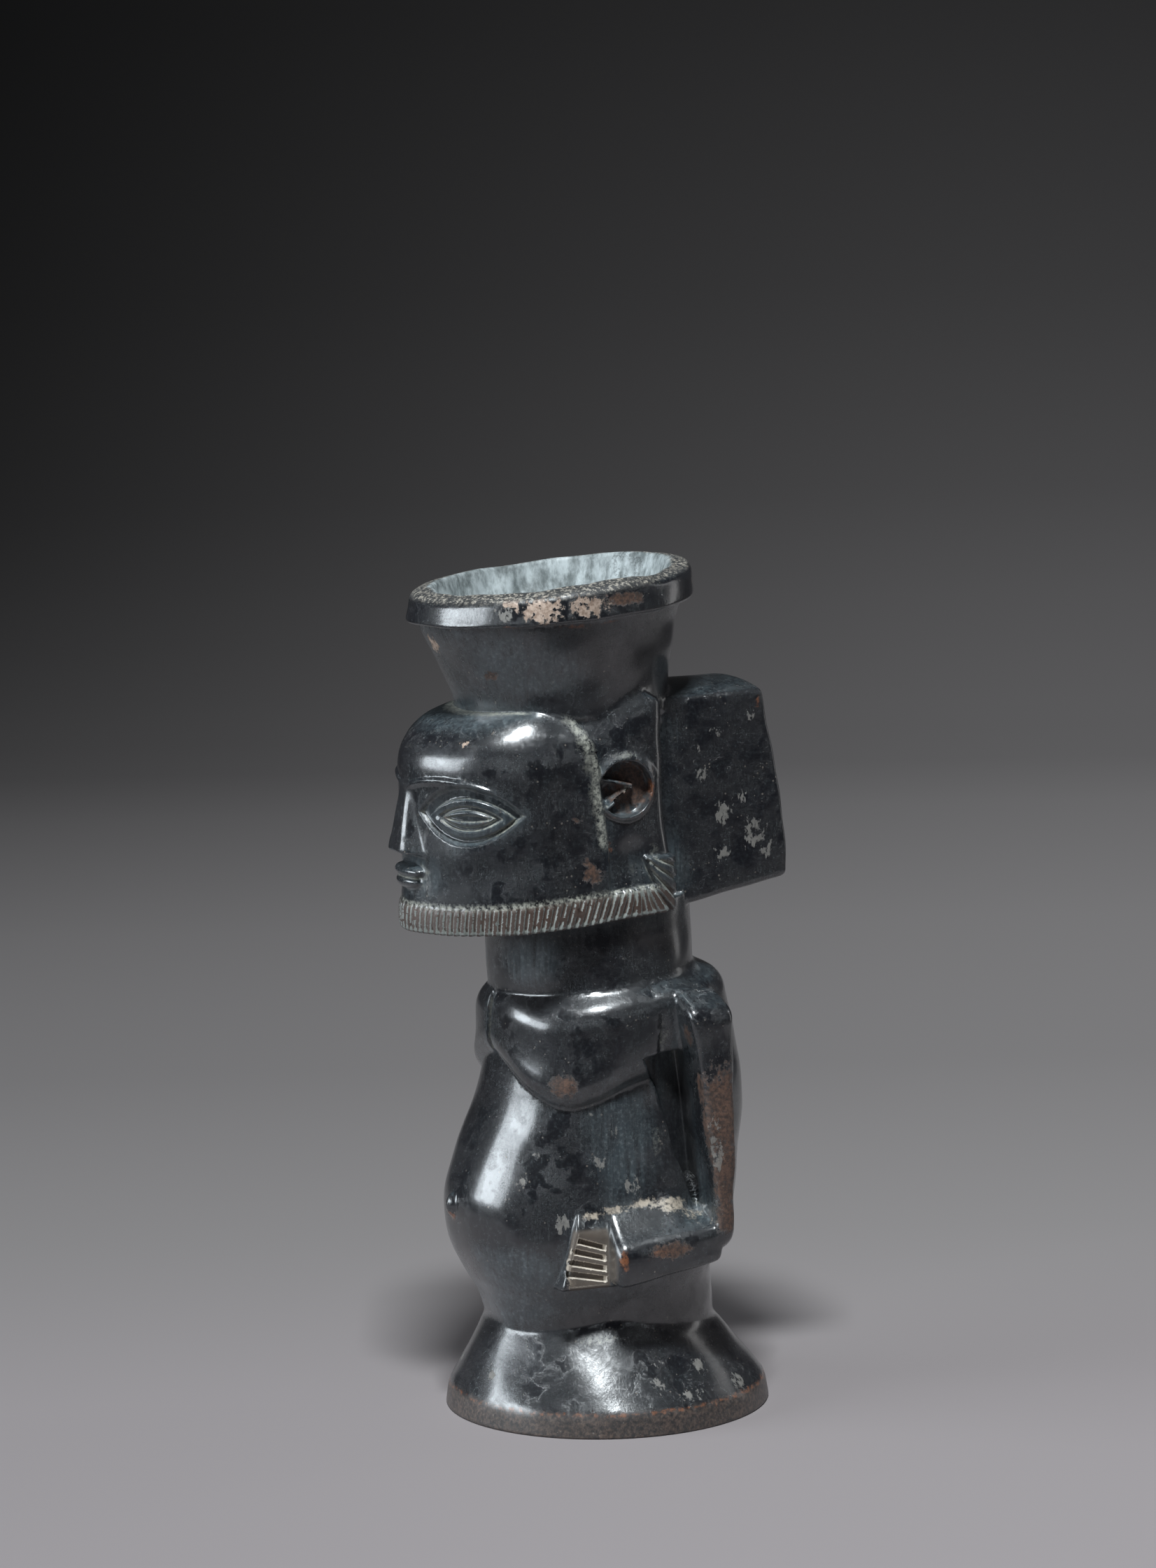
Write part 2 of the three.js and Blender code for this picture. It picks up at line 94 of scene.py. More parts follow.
# The trunk is one smooth round of the knife: a belly that swells to its front, a straight back,
# and a chest that is drawn in under the breasts. The navel is a nub left standing.
TRUNK_Y = -2
TRUNK_POWER = 2.4
TRUNK_HALF = [
    (8, 19.4), (16, 19.9), (20, 20.2), (24, 21), (28, 22.6), (32, 24), (36, 24.6), (42, 24.4),
    (50, 23.8), (60, 23.1), (70, 22.7), (76, 22.8), (86, 23.6), (96, 24),
]
TRUNK_FRONT = [
    (8, 22), (16, 24.6), (20, 25.7), (25.5, 27.4), (30, 29.9), (34, 31.9), (38, 33.3), (42, 34),
    (46, 33.9), (50, 33), (55, 31.2), (60, 28.8), (65, 26.7), (70, 25), (76, 23.6), (82, 23), (96, 23),
]
TRUNK_BACK = [
    (8, 17), (16, 19.4), (20, 20), (25.5, 20.4), (30, 21.6), (34, 23.8), (38, 25.8), (42, 27),
    (50, 28.2), (60, 29.8), (65, 30.2), (70, 29.9), (76, 28.8), (82, 27.4), (86, 26.5), (96, 24.6),
]


def round_of(x, y, half, front, back, middle_y, power):
    """How far a point lies outside an oval whose front and back have their own depth."""
    depth = np.where(y < middle_y, middle_y + front, back - middle_y)
    across = np.abs(x / half) ** power
    along = np.abs((y - middle_y) / depth) ** power
    share = np.maximum((across + along) ** (1 / power), 0.05)
    return np.hypot(x, y - middle_y) * (1 - 1 / share)


def trunk(x, y, z):
    return round_of(
        x, y, glide(z, TRUNK_HALF), glide(z, TRUNK_FRONT), glide(z, TRUNK_BACK), TRUNK_Y, TRUNK_POWER
    )


def ball(x, y, z, middle, radii):
    shares = [(value - at) / size for value, at, size in zip((x, y, z), middle, radii)]
    share = np.sqrt(sum(part * part for part in shares))
    return (share - 1) * min(radii)


def navel(x, y, z):
    return ball(x, y, z, (0, -33.3, 45.3), (1.9, 2.2, 2.8))


# Each breast is a flat shield left standing on the chest. Its lower border is a rounded V that
# is cut back at a slant, and a dusty groove parts the two shields in the middle.
BREAST_RISE = 2.5
BREAST_BORDER = [
    (-10, 77.6), (6, 76.7), (20, 74.6), (32, 72), (41, 70), (50, 68.1), (57, 67.6), (66, 68.4),
    (76, 69.9), (88, 71.8), (100, 73.2), (112, 75),
]
BREAST_END_Y = 3
CLEAVAGE_DEPTH = 1.7


def breast(x, y, z, side):
    bearing = np.degrees(np.arctan2(x, -(y - TRUNK_Y)))
    under = 0.8 * (glide(bearing, BREAST_BORDER) - z) + 0.5 * side
    shield = soft_max(side - BREAST_RISE + 0.5 * ramp(z, 74, 88), under, 2.8)
    groove = CLEAVAGE_DEPTH * ramp(1.35 - x, 0, 0.8) * ramp(z, 73, 76)
    return soft_max(shield + groove, (y - BREAST_END_Y) * 0.8, 0.6)


# The arms are square in section. A wedge-shaped slot, cut in from the side, frees the upper arm
# from the flank, and the forearm's upper side is hollowed down from the belly to its outer edge.
ARM_OUTER_X = 32.6
ARM_INNER_X = 16.5
ARM_BACK_Y = 16.8
WRIST_Y = -9.2
FINGERTIP_Y = -17.3
ARM_FRONT = [(36, 12), (44, 12.4), (62, 10.9), (79, 8.6), (92, 6)]
SLOT_TOP_Z = 77.8
SLOT_EDGE = [(40, 13), (43, 12), (50, 9.4), (58, 6.6), (62.5, 5.6), (70, 3.4), (75, 0.8), (78, -0.8)]
WEB_X = 24.9


def slot(x, y, z):
    edge = 0.93 * (glide(z, SLOT_EDGE) - y)
    roof = z - SLOT_TOP_Z - 0.1 * y
    floor = ARM_INNER_X - x
    return soft_max(soft_max(edge, floor, 1.2), soft_max(roof, y - 14, 0.8), 0.8)


def web(x, y, z):
    """The facet that closes the corner between breast and arm above the slot."""
    return soft_max(soft_max(x - WEB_X - 0.12 * (z - 84), np.abs(y - 6) - 4.5, 0.6), 76.5 - z, 0.6)


def arm(x, y, z):
    along = (y - WRIST_Y) / (ARM_BACK_Y - WRIST_Y)
    under = 30.9 + 4.6 * np.clip(along, 0, 1.1) - z
    back = y - ARM_BACK_Y - 0.3 * ramp(z, 60, 85)
    upper = soft_max(glide(z, ARM_FRONT) - y, x - ARM_OUTER_X + 0.9 * (1 - ramp(z, 36, 40)), 1.5)
    upper = soft_max(soft_max(upper, back, 2.6), under, 6.2)

    outer_x = ARM_OUTER_X - 1.4 + 1.4 * along
    brink = 39.3 + 4 * np.clip(along, 0, 1)
    rise = 8.6 - 6.4 * ramp(y, 4, 11.5)
    up = np.clip((outer_x - x) / (outer_x - 22.4), 0, 1.6)
    top = 0.6 * (z - brink - rise * up ** 1.25)
    fore = soft_max(soft_max(x - outer_x, under, 1.8), top, 1.5)
    fore = soft_max(fore, WRIST_Y - 0.3 - y, 2.2)
    fore = soft_max(fore, y - 14, 2)
    return soft_min(upper, fore, 0.8)


# The hand lies flat on the belly, lower than the wrist. Four flat-bottomed channels are cut
# across it and leave five thin fingers.
HAND_X = 25.8
HAND_LOW_Z = 30.4
LOWEST_RIDGE_Z = 32.9
FINGER_PITCH = 2.5
CHANNEL_DEPTH = 1.1


def hand(x, y, z):
    tip_y = FINGERTIP_Y + 0.28 * (z - 39)
    along = np.clip((y - FINGERTIP_Y) / (WRIST_Y - FINGERTIP_Y), 0, 1)
    outer_x = HAND_X - 0.9 + 1.1 * along
    step = (z - LOWEST_RIDGE_Z + 1.5 * along) / (FINGER_PITCH - 0.37 * along)
    within = step - np.floor(step)
    cut = ramp(within, 0.04, 0.16) * ramp(0.68 - within, 0, 0.12)
    cut = cut * ramp(step, -0.02, 0) * ramp(3.8 - step, 0, 0.1)
    cut = cut * ramp(y - tip_y, 0.7, 1.1) * ramp(WRIST_Y - 0.9 - y, 0, 0.4)
    under = HAND_LOW_Z - z
    rise = np.clip((28.5 - x) / 6.1, 0, 1.6)
    top = 0.6 * (z - 38.9 - 8.6 * rise ** 1.25)
    palm = soft_max(soft_max(x - outer_x, under, 0.9), top, 0.7)
    palm = soft_max(soft_max(palm, 0.96 * (tip_y - y), 0.6), y - WRIST_Y - 2, 0.5)
    return palm + CHANNEL_DEPTH * cut


# The neck is a plain round post, as thick as the cup's foot. The shoulders fall away from it in
# a narrow slanting shelf, lower in front than behind and flatter over the arms.
NECK_RADIUS = 21.8
COLLAR_Z = 92.1
COLLAR_SLOPE = 0.11


def shoulder_shelf(x, y, z):
    out = np.maximum(np.hypot(x, y + 2.1) - NECK_RADIUS, 0)
    over_arm = ramp(x, 18, 24) * ramp(y, -2, 8)
    behind = ramp(y, 12, 22)
    fall = 0.95 - 0.53 * over_arm - 0.35 * behind * (1 - over_arm)
    return 0.75 * (z - COLLAR_Z - COLLAR_SLOPE * (y + 2.1) + fall * out)


def neck(x, y, z):
    middle_y = -2.1 - 0.04 * (z - 100)
    return soft_max(np.hypot(x, y - middle_y) - NECK_RADIUS + 0.1, z - 108.8 - 0.065 * y, 0.6)


# The head is round in front and straight-sided towards the ears, with a low domed crown. In
# front of a slanting line before the ear the face stands a little proud of the temple.
HEAD_HALF_WIDTH = 24.6
HEAD_FRONT_Y = -42.6
HEAD_MIDDLE_Y = -18
HEAD_BACK = [
    (100, 9.4), (109, 9.4), (116, 9.4), (122, 8.8), (127, 8), (134, 7.6), (141, 7.6), (148, 7.8),
    (154, 8.2),
]
JAW_Z = 105.5
CROWN_Z = 150.4
HEAD_INSET = [
    (106, 0.1), (113, 0.4), (120, 0.9), (134, 0.4), (140, 0.3), (144, 1.2), (147, 3), (149, 5.6),
    (150, 8.6), (151.5, 16),
]
TEMPLE_INSET = [
    (106, 0.04), (113, 0.17), (120, 0.38), (134, 0.17), (140, 0.2), (142.5, 0.6), (145, 1.6),
    (147, 2.8), (149, 4.4), (150, 5.6), (151.5, 8.4),
]
HAIRLINE = [
    (106, -6.8), (114.5, -6.9), (118.7, -6.9), (125, -7.2), (128.1, -7.6), (134, -8.4), (140, -8.9),
    (142.6, -9.8), (147.2, -11.9), (150, -14), (156, -17.5),
]
HAIRLINE_STEP = 0.75
CHEEK_HOLLOW = 1.1


def crown_rise(y):
    return np.maximum(0.045 * (y - HEAD_MIDDLE_Y), 0.12 * (y - HEAD_MIDDLE_Y))


def head_round(x, y, z, grow=0):
    inset = np.minimum(glide(z - crown_rise(y), HEAD_INSET), 17) * (1 - 0.8 * ramp(y, -14, 2))
    side_inset = glide(z - crown_rise(y), TEMPLE_INSET) * (1 - 0.8 * ramp(y, -14, 2))
    half = HEAD_HALF_WIDTH - side_inset + grow
    front = -HEAD_FRONT_Y - 1.45 * inset + grow
    back = glide(z, HEAD_BACK) + grow
    rounded = round_of(x, y, half, front, back, HEAD_MIDDLE_Y, 2)
    squarer = round_of(x, y, half, front, back, HEAD_MIDDLE_Y, 8)
    return np.where(y < HEAD_MIDDLE_Y, rounded, squarer)


def head(x, y, z):
    behind_line = ramp(y - glide(z, HAIRLINE), -0.25, 0.3)
    step = HAIRLINE_STEP * behind_line * ramp(z, 110, 114) * (0.35 + 0.65 * ramp(8 - y, 0, 9))
    hollow = CHEEK_HOLLOW * np.exp(-(((y + 1) / 4.2) ** 2) - ((z - 119.5) / 4.6) ** 2) * behind_line
    side = head_round(x, y, z) + (step + hollow) * ramp(x, 12, 20)
    side = soft_max(side, 0.7 * (x + z - 174), 1.2)
    side = soft_max(side, z - CROWN_Z - 1.2 - crown_rise(y) + 0.7 * np.clip(y - 2, 0, 6), 1)
    return soft_max(side, JAW_Z + 0.065 * (y - HEAD_FRONT_Y) - z, 0.8)


# The face is laid out on the round of the head in equal thirds from crown edge to chin, and in
# fifths from ear to ear. Almond eyes with cut lids, a straight nose and closed lips stand up in
# low relief, as the rest is cut.
FACE_ROUND = 24.3
CHIN_Z = 106.4
FACE_THIRD = 14.4
BROW_Z = CHIN_Z + 2 * FACE_THIRD
NOSE_BASE_Z = CHIN_Z + FACE_THIRD
MOUTH_Z = NOSE_BASE_Z - FACE_THIRD / 3
EYE_Z = 129.2
EYE_WIDTH = 19


def almond(across, up, half_length, half_height):
    return half_height * (1 - (across / half_length) ** 2) - np.abs(up)


def face_relief(x, y, z):
    """How far the face's drawing stands out of the round of the head."""
    across = FACE_ROUND * np.arctan2(x, HEAD_MIDDLE_Y - y)
    from_eye = across - EYE_WIDTH
    up = z - EYE_Z
    socket = almond(from_eye + 0.6, up - 0.6, 13.2, 6.6)
    lids = almond(from_eye, up, 10.6, 4.5)
    opening = almond(from_eye, up, 8, 2.9)
    slit = almond(from_eye, up, 6.3, 1)
    brow_line = BROW_Z + 1.4 - 3.4 * ((across - 13) / 15) ** 2
    brow = ramp(1.1 - np.abs(z - brow_line), 0, 0.9) * ramp(28.5 - across, 0, 6)
    relief = -1.1 * ramp(socket, 0, 1.3) + 0.5 * brow
    relief = relief + 0.95 * ramp(lids, 0, 0.8) - 0.75 * ramp(opening, 0, 0.6)
    relief = relief + 0.85 * ramp(opening, 0.75, 1.7) - 0.8 * ramp(slit, 0, 0.5)
    cheek = 0.5 * np.exp(-(((across - 15) / 9) ** 2) - ((z - NOSE_BASE_Z) / 6) ** 2)
    return (relief + cheek) * ramp(-12 - y, 0, 3)


def nose(x, y, z):
    down = np.clip((BROW_Z - z) / FACE_THIRD, 0, 1)
    reach = 0.1 + 2.7 * down ** 1.2
    half_width = 1.5 + 1.5 * down ** 2
    front = -(y - HEAD_FRONT_Y) - reach
    sides = 0.86 * (x - half_width) - 0.5 * (y - HEAD_FRONT_Y + reach)
    bridge = soft_max(soft_max(front, sides - 1, 1.2), NOSE_BASE_Z - z, 1)
    bridge = soft_max(soft_max(bridge, z - BROW_Z - 1, 2), y - HEAD_FRONT_Y - 5, 1)
    wing = ball(x, y, z, (2.9, HEAD_FRONT_Y - 0.1, NOSE_BASE_Z + 1.8), (1.9, 1.8, 1.9))
    return soft_min(bridge, wing, 0.9)


def lips(x, y, z):
    upper = ball(x, y, z, (0, HEAD_FRONT_Y + 1.2, MOUTH_Z + 1), (6.4, 2.7, 1.7))
    lower = ball(x, y, z, (0, HEAD_FRONT_Y + 1.2, MOUTH_Z - 1.1), (5.6, 2.6, 1.7))
    return np.minimum(upper, lower)


# The beard is a fringe along the jaw, a strip left standing and cut across with close upright
# strokes. Before the hair block it turns up, and its last strokes fan out.
BEARD_RISE = 1.3
BEARD_HEIGHT = 5.2
BEARD_FRONT_Z = 104.4
BEARD_SLOPE = 0.065
BEARD_PITCH = 1.75
FAN_Y = -3.8
FAN_Z = 121.7
FAN_TOP_Z = 119


def beard(x, y, z):
    low = BEARD_FRONT_Z + BEARD_SLOPE * (y - HEAD_FRONT_Y)
    up = z - low
    round_front = FACE_ROUND * np.arctan2(x, HEAD_MIDDLE_Y - y)
    side_run = FACE_ROUND * np.pi / 2 + np.minimum(y, FAN_Y) - HEAD_MIDDLE_Y
    fan = 9.5 * np.arctan2(np.maximum(y - FAN_Y, 0), np.maximum(FAN_Z - z, 0.5))
    along = np.where(y < HEAD_MIDDLE_Y, round_front, side_run + fan)
    slant = (0.1 + 0.25 * ramp(y, -30, -10)) * ramp(4 - y, 0, 8)
    phase = (along - slant * up) / BEARD_PITCH
    notch = np.clip(1 - np.abs(phase - np.floor(phase) - 0.5) * BEARD_PITCH / 0.5, 0, 1)
    plain = head_round(x, y, np.maximum(z, 107), BEARD_RISE - 0.9) - 0.5 * ramp(y, 0, 5)
    ledge = 0.75 * (up - BEARD_HEIGHT) + 0.65 * plain
    turned_up = soft_max(2.9 - 0.47 * (z - 115) - y, 0.9 * (z - FAN_TOP_Z) + 0.4 * plain, 1)
    strip = soft_max(plain + 0.8 * notch, -up, 0.7)
    return soft_max(strip, soft_min(ledge, turned_up, 0.8), 0.7)


# The ear is a round bowl with a raised rim, closed in front by the face's edge. Inside it two
# thin walls meet in a point.
EAR_X = 24.4
EAR_Y = -2.8
EAR_Z = 134
EAR_BOWL_RADIUS = 5.7
EAR_BOWL_X = 21.9


def wall(y, z, start, end, half_width):
    """How far a point lies outside an upright wall that follows a line from start to end."""
    span_y, span_z = end[0] - start[0], end[1] - start[1]
    part = ((y - start[0]) * span_y + (z - start[1]) * span_z) / (span_y**2 + span_z**2)
    part = np.clip(part, 0, 1)
    return np.hypot(y - start[0] - part * span_y, z - start[1] - part * span_z) - half_width


def ear_bowl(x, y, z):
    around = np.hypot(y - EAR_Y, z - EAR_Z) - EAR_BOWL_RADIUS
    return soft_max(soft_max(around, EAR_BOWL_X - x, 0.8), glide(z, HAIRLINE) + 0.3 - y, 0.4)


def ear(x, y, z):
    around = np.hypot(y - EAR_Y, z - EAR_Z) - EAR_BOWL_RADIUS
    height = head_round(x, y, z) - 0.25 - 0.55 * ramp(z, 130, 137) + 0.7 * np.clip(around - 0.3, 0, 2)
    width = 1.3 + 1.6 * ramp(z, 135, 139)
    rim = soft_max(soft_max(-around, around - width, 0.5), height, 0.6)
    rim = soft_max(rim, glide(z, HAIRLINE) - y, 0.5)
    point = (EAR_Y + 1.6, EAR_Z + 0.4)
    upper = wall(y, z, (EAR_Y - 5.6, EAR_Z + 2.4), point, 0.42)
    lower = wall(y, z, (EAR_Y - 4.9, EAR_Z - 4.6), point, 0.42)
    walls = soft_max(np.minimum(upper, lower), x - EAR_X + 0.3, 0.5)
    return soft_min(rim, walls, 0.3)


# The hair is gathered behind in a flat-sided block, narrower than the head, whose back leans
# out towards its lower corner. Its faces are left as the knife pared them.
BLOCK_HALF_WIDTH = 14.6
BLOCK_TOP_Z = 152.4
BLOCK_FRONT = [(100, 13.2), (108, 12.8), (121, 12.3), (128, 11.6), (138, 10.7), (144, 10), (150, 9)]


def hair_block(x, y, z):
    back = 0.985 * (y - 32.1 - 0.137 * (BLOCK_TOP_Z - z) - 0.9 * (1 - ((z - 130.8) / 19.5) ** 2))
    under = 0.98 * (107 + 0.165 * (y - 12.4) - z)
    top = z - BLOCK_TOP_Z - 0.04 * np.maximum(y - 15, 0) + 0.0078 * x * x
    block = soft_max(soft_max(x - BLOCK_HALF_WIDTH, back, 1.3), top, 1.5)
    return soft_max(soft_max(block, under, 1.4), 2 - y, 1)


def channel(x, y, z):
    """The upright groove that parts the block from the head."""
    rounding = 2 - np.hypot(x - 15.9, y - glide(z, BLOCK_FRONT) + 1.4)
    return soft_max(-rounding, z - 147, 2.5)


# The cup is a plain cone that leans forward and widens to a raised band under its lip. It is
# hollowed with a gouge, whose strokes run up the inside.
CUP_FOOT_Z = 149.6
CUP_AXIS = [(-6, -6.4), (0, -7.1), (10.5, -8.5), (18, -9.4), (21, -9.1), (27, -8.9)]
CUP_HEIGHT = 26.8
CUP_LEAN = 0.1
CUP_OUTSIDE = [(-6, 22.3), (0, 22.3), (3, 22.7), (6, 23.3), (10.5, 24.6), (15, 26), (19.6, 27.3), (24, 28.4)]
CUP_INSIDE = [(4.6, 5), (5.6, 13), (8.8, 17), (14, 20.4), (20.8, 22.9), (26.8, 24.5), (30, 25.3)]
CUP_BAND_LOW = 19.4
CUP_BAND_RADIUS = 29.9
CHIP_BEARING = 2.35
CHIP_DEPTH = 0.7


def cup_place(x, y, z):
    y_from = y - glide(z - CUP_FOOT_Z, CUP_AXIS)
    rise = z - CUP_FOOT_Z - CUP_LEAN * np.clip((z - CUP_FOOT_Z) / CUP_HEIGHT, 0, 1.3) * y_from
    return rise, np.hypot(x, y_from), y_from


def cup(x, y, z, side):
    rise, radius, y_from = cup_place(x, y, z)
    bearing = np.arctan2(side, -y_from)
    lip = CUP_HEIGHT - 0.14 * np.sin(3 * bearing + 0.6) - 0.1 * np.sin(7 * bearing)
    chip = CHIP_DEPTH * ramp(np.cos(bearing - CHIP_BEARING), 0.9, 0.985)
    lip = lip + 0.4 - 0.22 * np.clip(radius - 24.5, 0, 5) - chip
    cone = 0.95 * (radius - glide(rise, CUP_OUTSIDE))
    band = soft_max(radius - CUP_BAND_RADIUS + 0.09 * (rise - CUP_BAND_LOW), CUP_BAND_LOW + 0.5 - rise, 1)
    outside = soft_max(soft_min(cone, band, 0.5), rise - lip, 1.7)
    inside = 0.9 * (radius - glide(rise, CUP_INSIDE) + 0.22 * np.sin(17 * bearing + 0.4 * rise))
    hollow = soft_max(inside, 4.9 - rise, 4)
    return soft_max(outside, -1.6 - rise, 1.2), hollow


# The whole carving is one block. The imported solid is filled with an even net, the net is drawn
# onto the surface described above, and it is split finer wherever that surface turns sharply.
# SPLITS gives, for each pass, the turn in degrees and the shortest length in millimetres that are
# split, and FINE_PLACES gives boxes by two corners and the longest length left in them.
HAND_TREMOR = 0.16
NET_SIZE = 0.0014
SPLITS = ((90, 1), (17, 0.85), (20, 0.5), (32, 0.38))
FINE_PLACES = [
    ((21, -21, 29), (29, -6, 44), 0.56),
    ((20, -10, 106), (28, 9, 142), 0.952),
    ((0, -50, 102), (27, 3, 114), 0.952),
    ((0, -50, 112), (26, -14, 139), 1.12),
]
tremor_random = np.random.default_rng(11)
TREMOR = [
    (
        tremor_random.normal(size=3) / wave,
        tremor_random.normal(size=3) * wave / 3,
        tremor_random.uniform(0, 6.28),
    )
    for wave in (3.2, 3.2, 3.8, 4.6, 4.6, 6, 8, 8)
]


def unsteady(x, y, z):
    """The small unevenness that a hand-held blade leaves."""
    total = np.zeros_like(x)
    for direction, _, phase in TREMOR:
        total += np.sin(direction[0] * x + direction[1] * y + direction[2] * z + phase)
    return HAND_TREMOR * total / len(TREMOR) ** 0.5


def carving(points):
    side, y, z = points.T
    x = np.sqrt(side * side + 0.01)
    flank = trunk(x, y, z)
    body = soft_min(flank, navel(x, y, z), 0.6)
    body = soft_min(body, breast(x, y, z, flank), 0.5)
    body = soft_min(body, web(x, y, z), 0.5)
    body = soft_max(body, -slot(x, y, z), 0.7)
    body = soft_min(body, arm(x, y, z), 0.9)
    body = soft_min(body, hand(x, y, z), 0.5)
    body = soft_max(body, shoulder_shelf(x, y, z), 2.3)
    body = soft_min(body, foot(x, y, z), 0.7)
    body = soft_min(body, neck(x, y, z), 0.8)
    skull = head(x, y, z) - face_relief(x, y, z)
    skull = soft_max(skull, -ear_bowl(x, y, z), 0.5)
    skull = soft_min(skull, ear(x, y, z), 0.4)
    skull = soft_min(skull, nose(x, y, z), 0.7)
    skull = soft_min(skull, lips(x, y, z), 0.5)
    skull = soft_min(skull, hair_block(x, y, z), 0.5)
    skull = soft_max(skull, -channel(x, y, z), 0.5)
    skull = soft_min(skull, beard(x, y, z), 0.35)
    outside, hollow = cup(x, y, z, side)
    whole = soft_min(soft_min(body, skull, 0.6), outside, 0.9)
    whole = soft_max(whole, -hollow, 1)
    return whole + unsteady(side, y, z) * ramp(z, 0.5, 6)


def slope_of(points, value):
    step = 0.02
    slope = np.empty_like(points)
    for axis in range(3):
        moved = points.copy()
        moved[:, axis] += step
        slope[:, axis] = (carving(moved) - value) / step
    return slope


def draw_onto(points, passes):
    for _ in range(passes):
        value = carving(points)
        slope = slope_of(points, value)
        steep = np.maximum((slope * slope).sum(axis=1), 0.05)
        points = points - slope * np.clip(value / steep, -0.6, 0.6)[:, None]
    return points


def settle(points, edges, turn):
    """Evens the net out along the surface, without moving it off its sharp places."""
    reach = np.zeros_like(points)
    count = np.zeros(len(points))
    for a, b in ((0, 1), (1, 0)):
        np.add.at(reach, edges[:, a], points[edges[:, b]])
        np.add.at(count, edges[:, a], 1)
    move = reach / np.maximum(count, 1)[:, None] - points
    move -= turn * (move * turn).sum(axis=1)[:, None]
    return points + 0.5 * move


def mesh_points(mesh):
    flat = np.empty(len(mesh.vertices) * 3, dtype=np.float32)
    mesh.vertices.foreach_get("co", flat)
    return flat.reshape(-1, 3).astype(float) * 1000


def mesh_edges(mesh):
    flat = np.empty(len(mesh.edges) * 2, dtype=np.int32)
    mesh.edges.foreach_get("vertices", flat)
    return flat.reshape(-1, 2)


def unit_slope(points):
    slope = slope_of(points, carving(points))
    return slope / np.linalg.norm(slope, axis=1)[:, None]


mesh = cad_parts["figure_cup"].data.copy()
net = bmesh.new()
net.from_mesh(mesh)
bmesh.ops.remove_doubles(net, verts=net.verts, dist=1e-6)
net.to_mesh(mesh)
net.free()
block = bpy.data.objects.new("carving_block", mesh)
bpy.context.scene.collection.objects.link(block)
evener = block.modifiers.new("even net", "REMESH")
evener.mode = "VOXEL"
evener.voxel_size = NET_SIZE
mesh = bpy.data.meshes.new_from_object(block.evaluated_get(bpy.context.evaluated_depsgraph_get()))
bpy.data.objects.remove(block)

net = bmesh.new()
net.from_mesh(mesh)
bmesh.ops.triangulate(net, faces=net.faces)
net.to_mesh(mesh)
points = draw_onto(mesh_points(mesh), 4)
edges = mesh_edges(mesh)
for _ in range(2):
    points = draw_onto(settle(points, edges, unit_slope(points)), 2)

for sharpest, shortest in SPLITS:
    turn = unit_slope(points)
    a, b = edges.T
    length = np.linalg.norm(points[a] - points[b], axis=1)
    agreement = (turn[a] * turn[b]).sum(axis=1)
    wanted = (agreement < np.cos(np.radians(sharpest))) & (length > shortest)
    middle = (points[a] + points[b]) / 2
    middle[:, 0] = np.abs(middle[:, 0])
    for low, high, longest in FINE_PLACES:
        wanted |= ((middle > low) & (middle < high)).all(axis=1) & (length > longest)
    mesh.vertices.foreach_set("co", (points / 1000).ravel())
    net.clear()
    net.from_mesh(mesh)
    net.edges.ensure_lookup_table()
    chosen = [net.edges[k] for k in np.flatnonzero(wanted)]
    bmesh.ops.subdivide_edges(net, edges=chosen, cuts=1)
    bmesh.ops.triangulate(net, faces=[face for face in net.faces if len(face.verts) > 3])
    net.to_mesh(mesh)
    points = draw_onto(mesh_points(mesh), 2)
    edges = mesh_edges(mesh)
    points = draw_onto(settle(points, edges, unit_slope(points)), 2)
net.free()

# The underside is flat, so that the foot meets the floor and nothing sinks into it.
points[:, 2] = np.maximum(points[:, 2], 0)
mesh.name = "carving"
mesh.vertices.foreach_set("co", (points / 1000).ravel())
mesh.materials.clear()
mesh.update()
mesh.shade_smooth()
mesh.normals_split_custom_set_from_vertices(unit_slope(points).tolist())
carved = bpy.data.objects.new("carving", mesh)
bpy.context.scene.collection.objects.link(carved)
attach(carved, "root")
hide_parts("figure_cup")


# Handling has polished the black skin of the wood, rubbed it through on edges and let dust settle in the
# creases. How strongly is marked on every point: first by how the surface bends there, then from lists of
# places that are worn, dusty or painted with sheen, each given by its middle and its three half sizes.
FILM_PASSES = 24
FILM_SPREAD = 0.7
SPOT_REACH = 1.45
BROWN_PLACES = [
    ((32.6, 13.6, 66), (2.5, 5.6, 11)), ((32.4, 14.5, 53), (2.5, 4, 10)),
    ((30.5, 9.8, 71), (2.2, 2, 4.5)), ((28.9, 7.9, 82.5), (2, 1, 3)),
    ((21.6, -17.2, 72.6), (3, 3.6, 2.6)), ((14, -28.1, 157.8), (2.4, 2, 1.2)),
    ((24, -10.8, 116.8), (2, 2.6, 2.4)), ((24.1, -12.2, 119.6), (1.5, 1.2, 1)),
    ((32.3, 14.5, 44), (2, 3, 4)), ((22, -1.6, 134), (2.6, 6, 6)), ((31.8, 2, 38.4), (1.5, 5.4, 2)),
    ((29.4, -3, 173.6), (2, 7, 1.6)), ((22, -14, 128.4), (3, 2.4, 1.6)), ((31.4, 9.6, 61), (2, 3, 9)),
]
PALE_PLACES = [
    ((15.5, -34.5, 144.2), (1.6, 1.2, 0.9)), ((26.4, -21.6, 172), (3.5, 5.6, 3.4)),
    ((29.2, -12.4, 172.5), (2, 5, 2.6)), ((23, -27, 173.4), (2, 2.2, 1.6)),
    ((0, -35, 163.4), (2.4, 2, 3.4)), ((28.5, 11, 179), (3, 6, 1.5)), ((10.8, 13.4, 176), (5, 5, 3.4)),
]
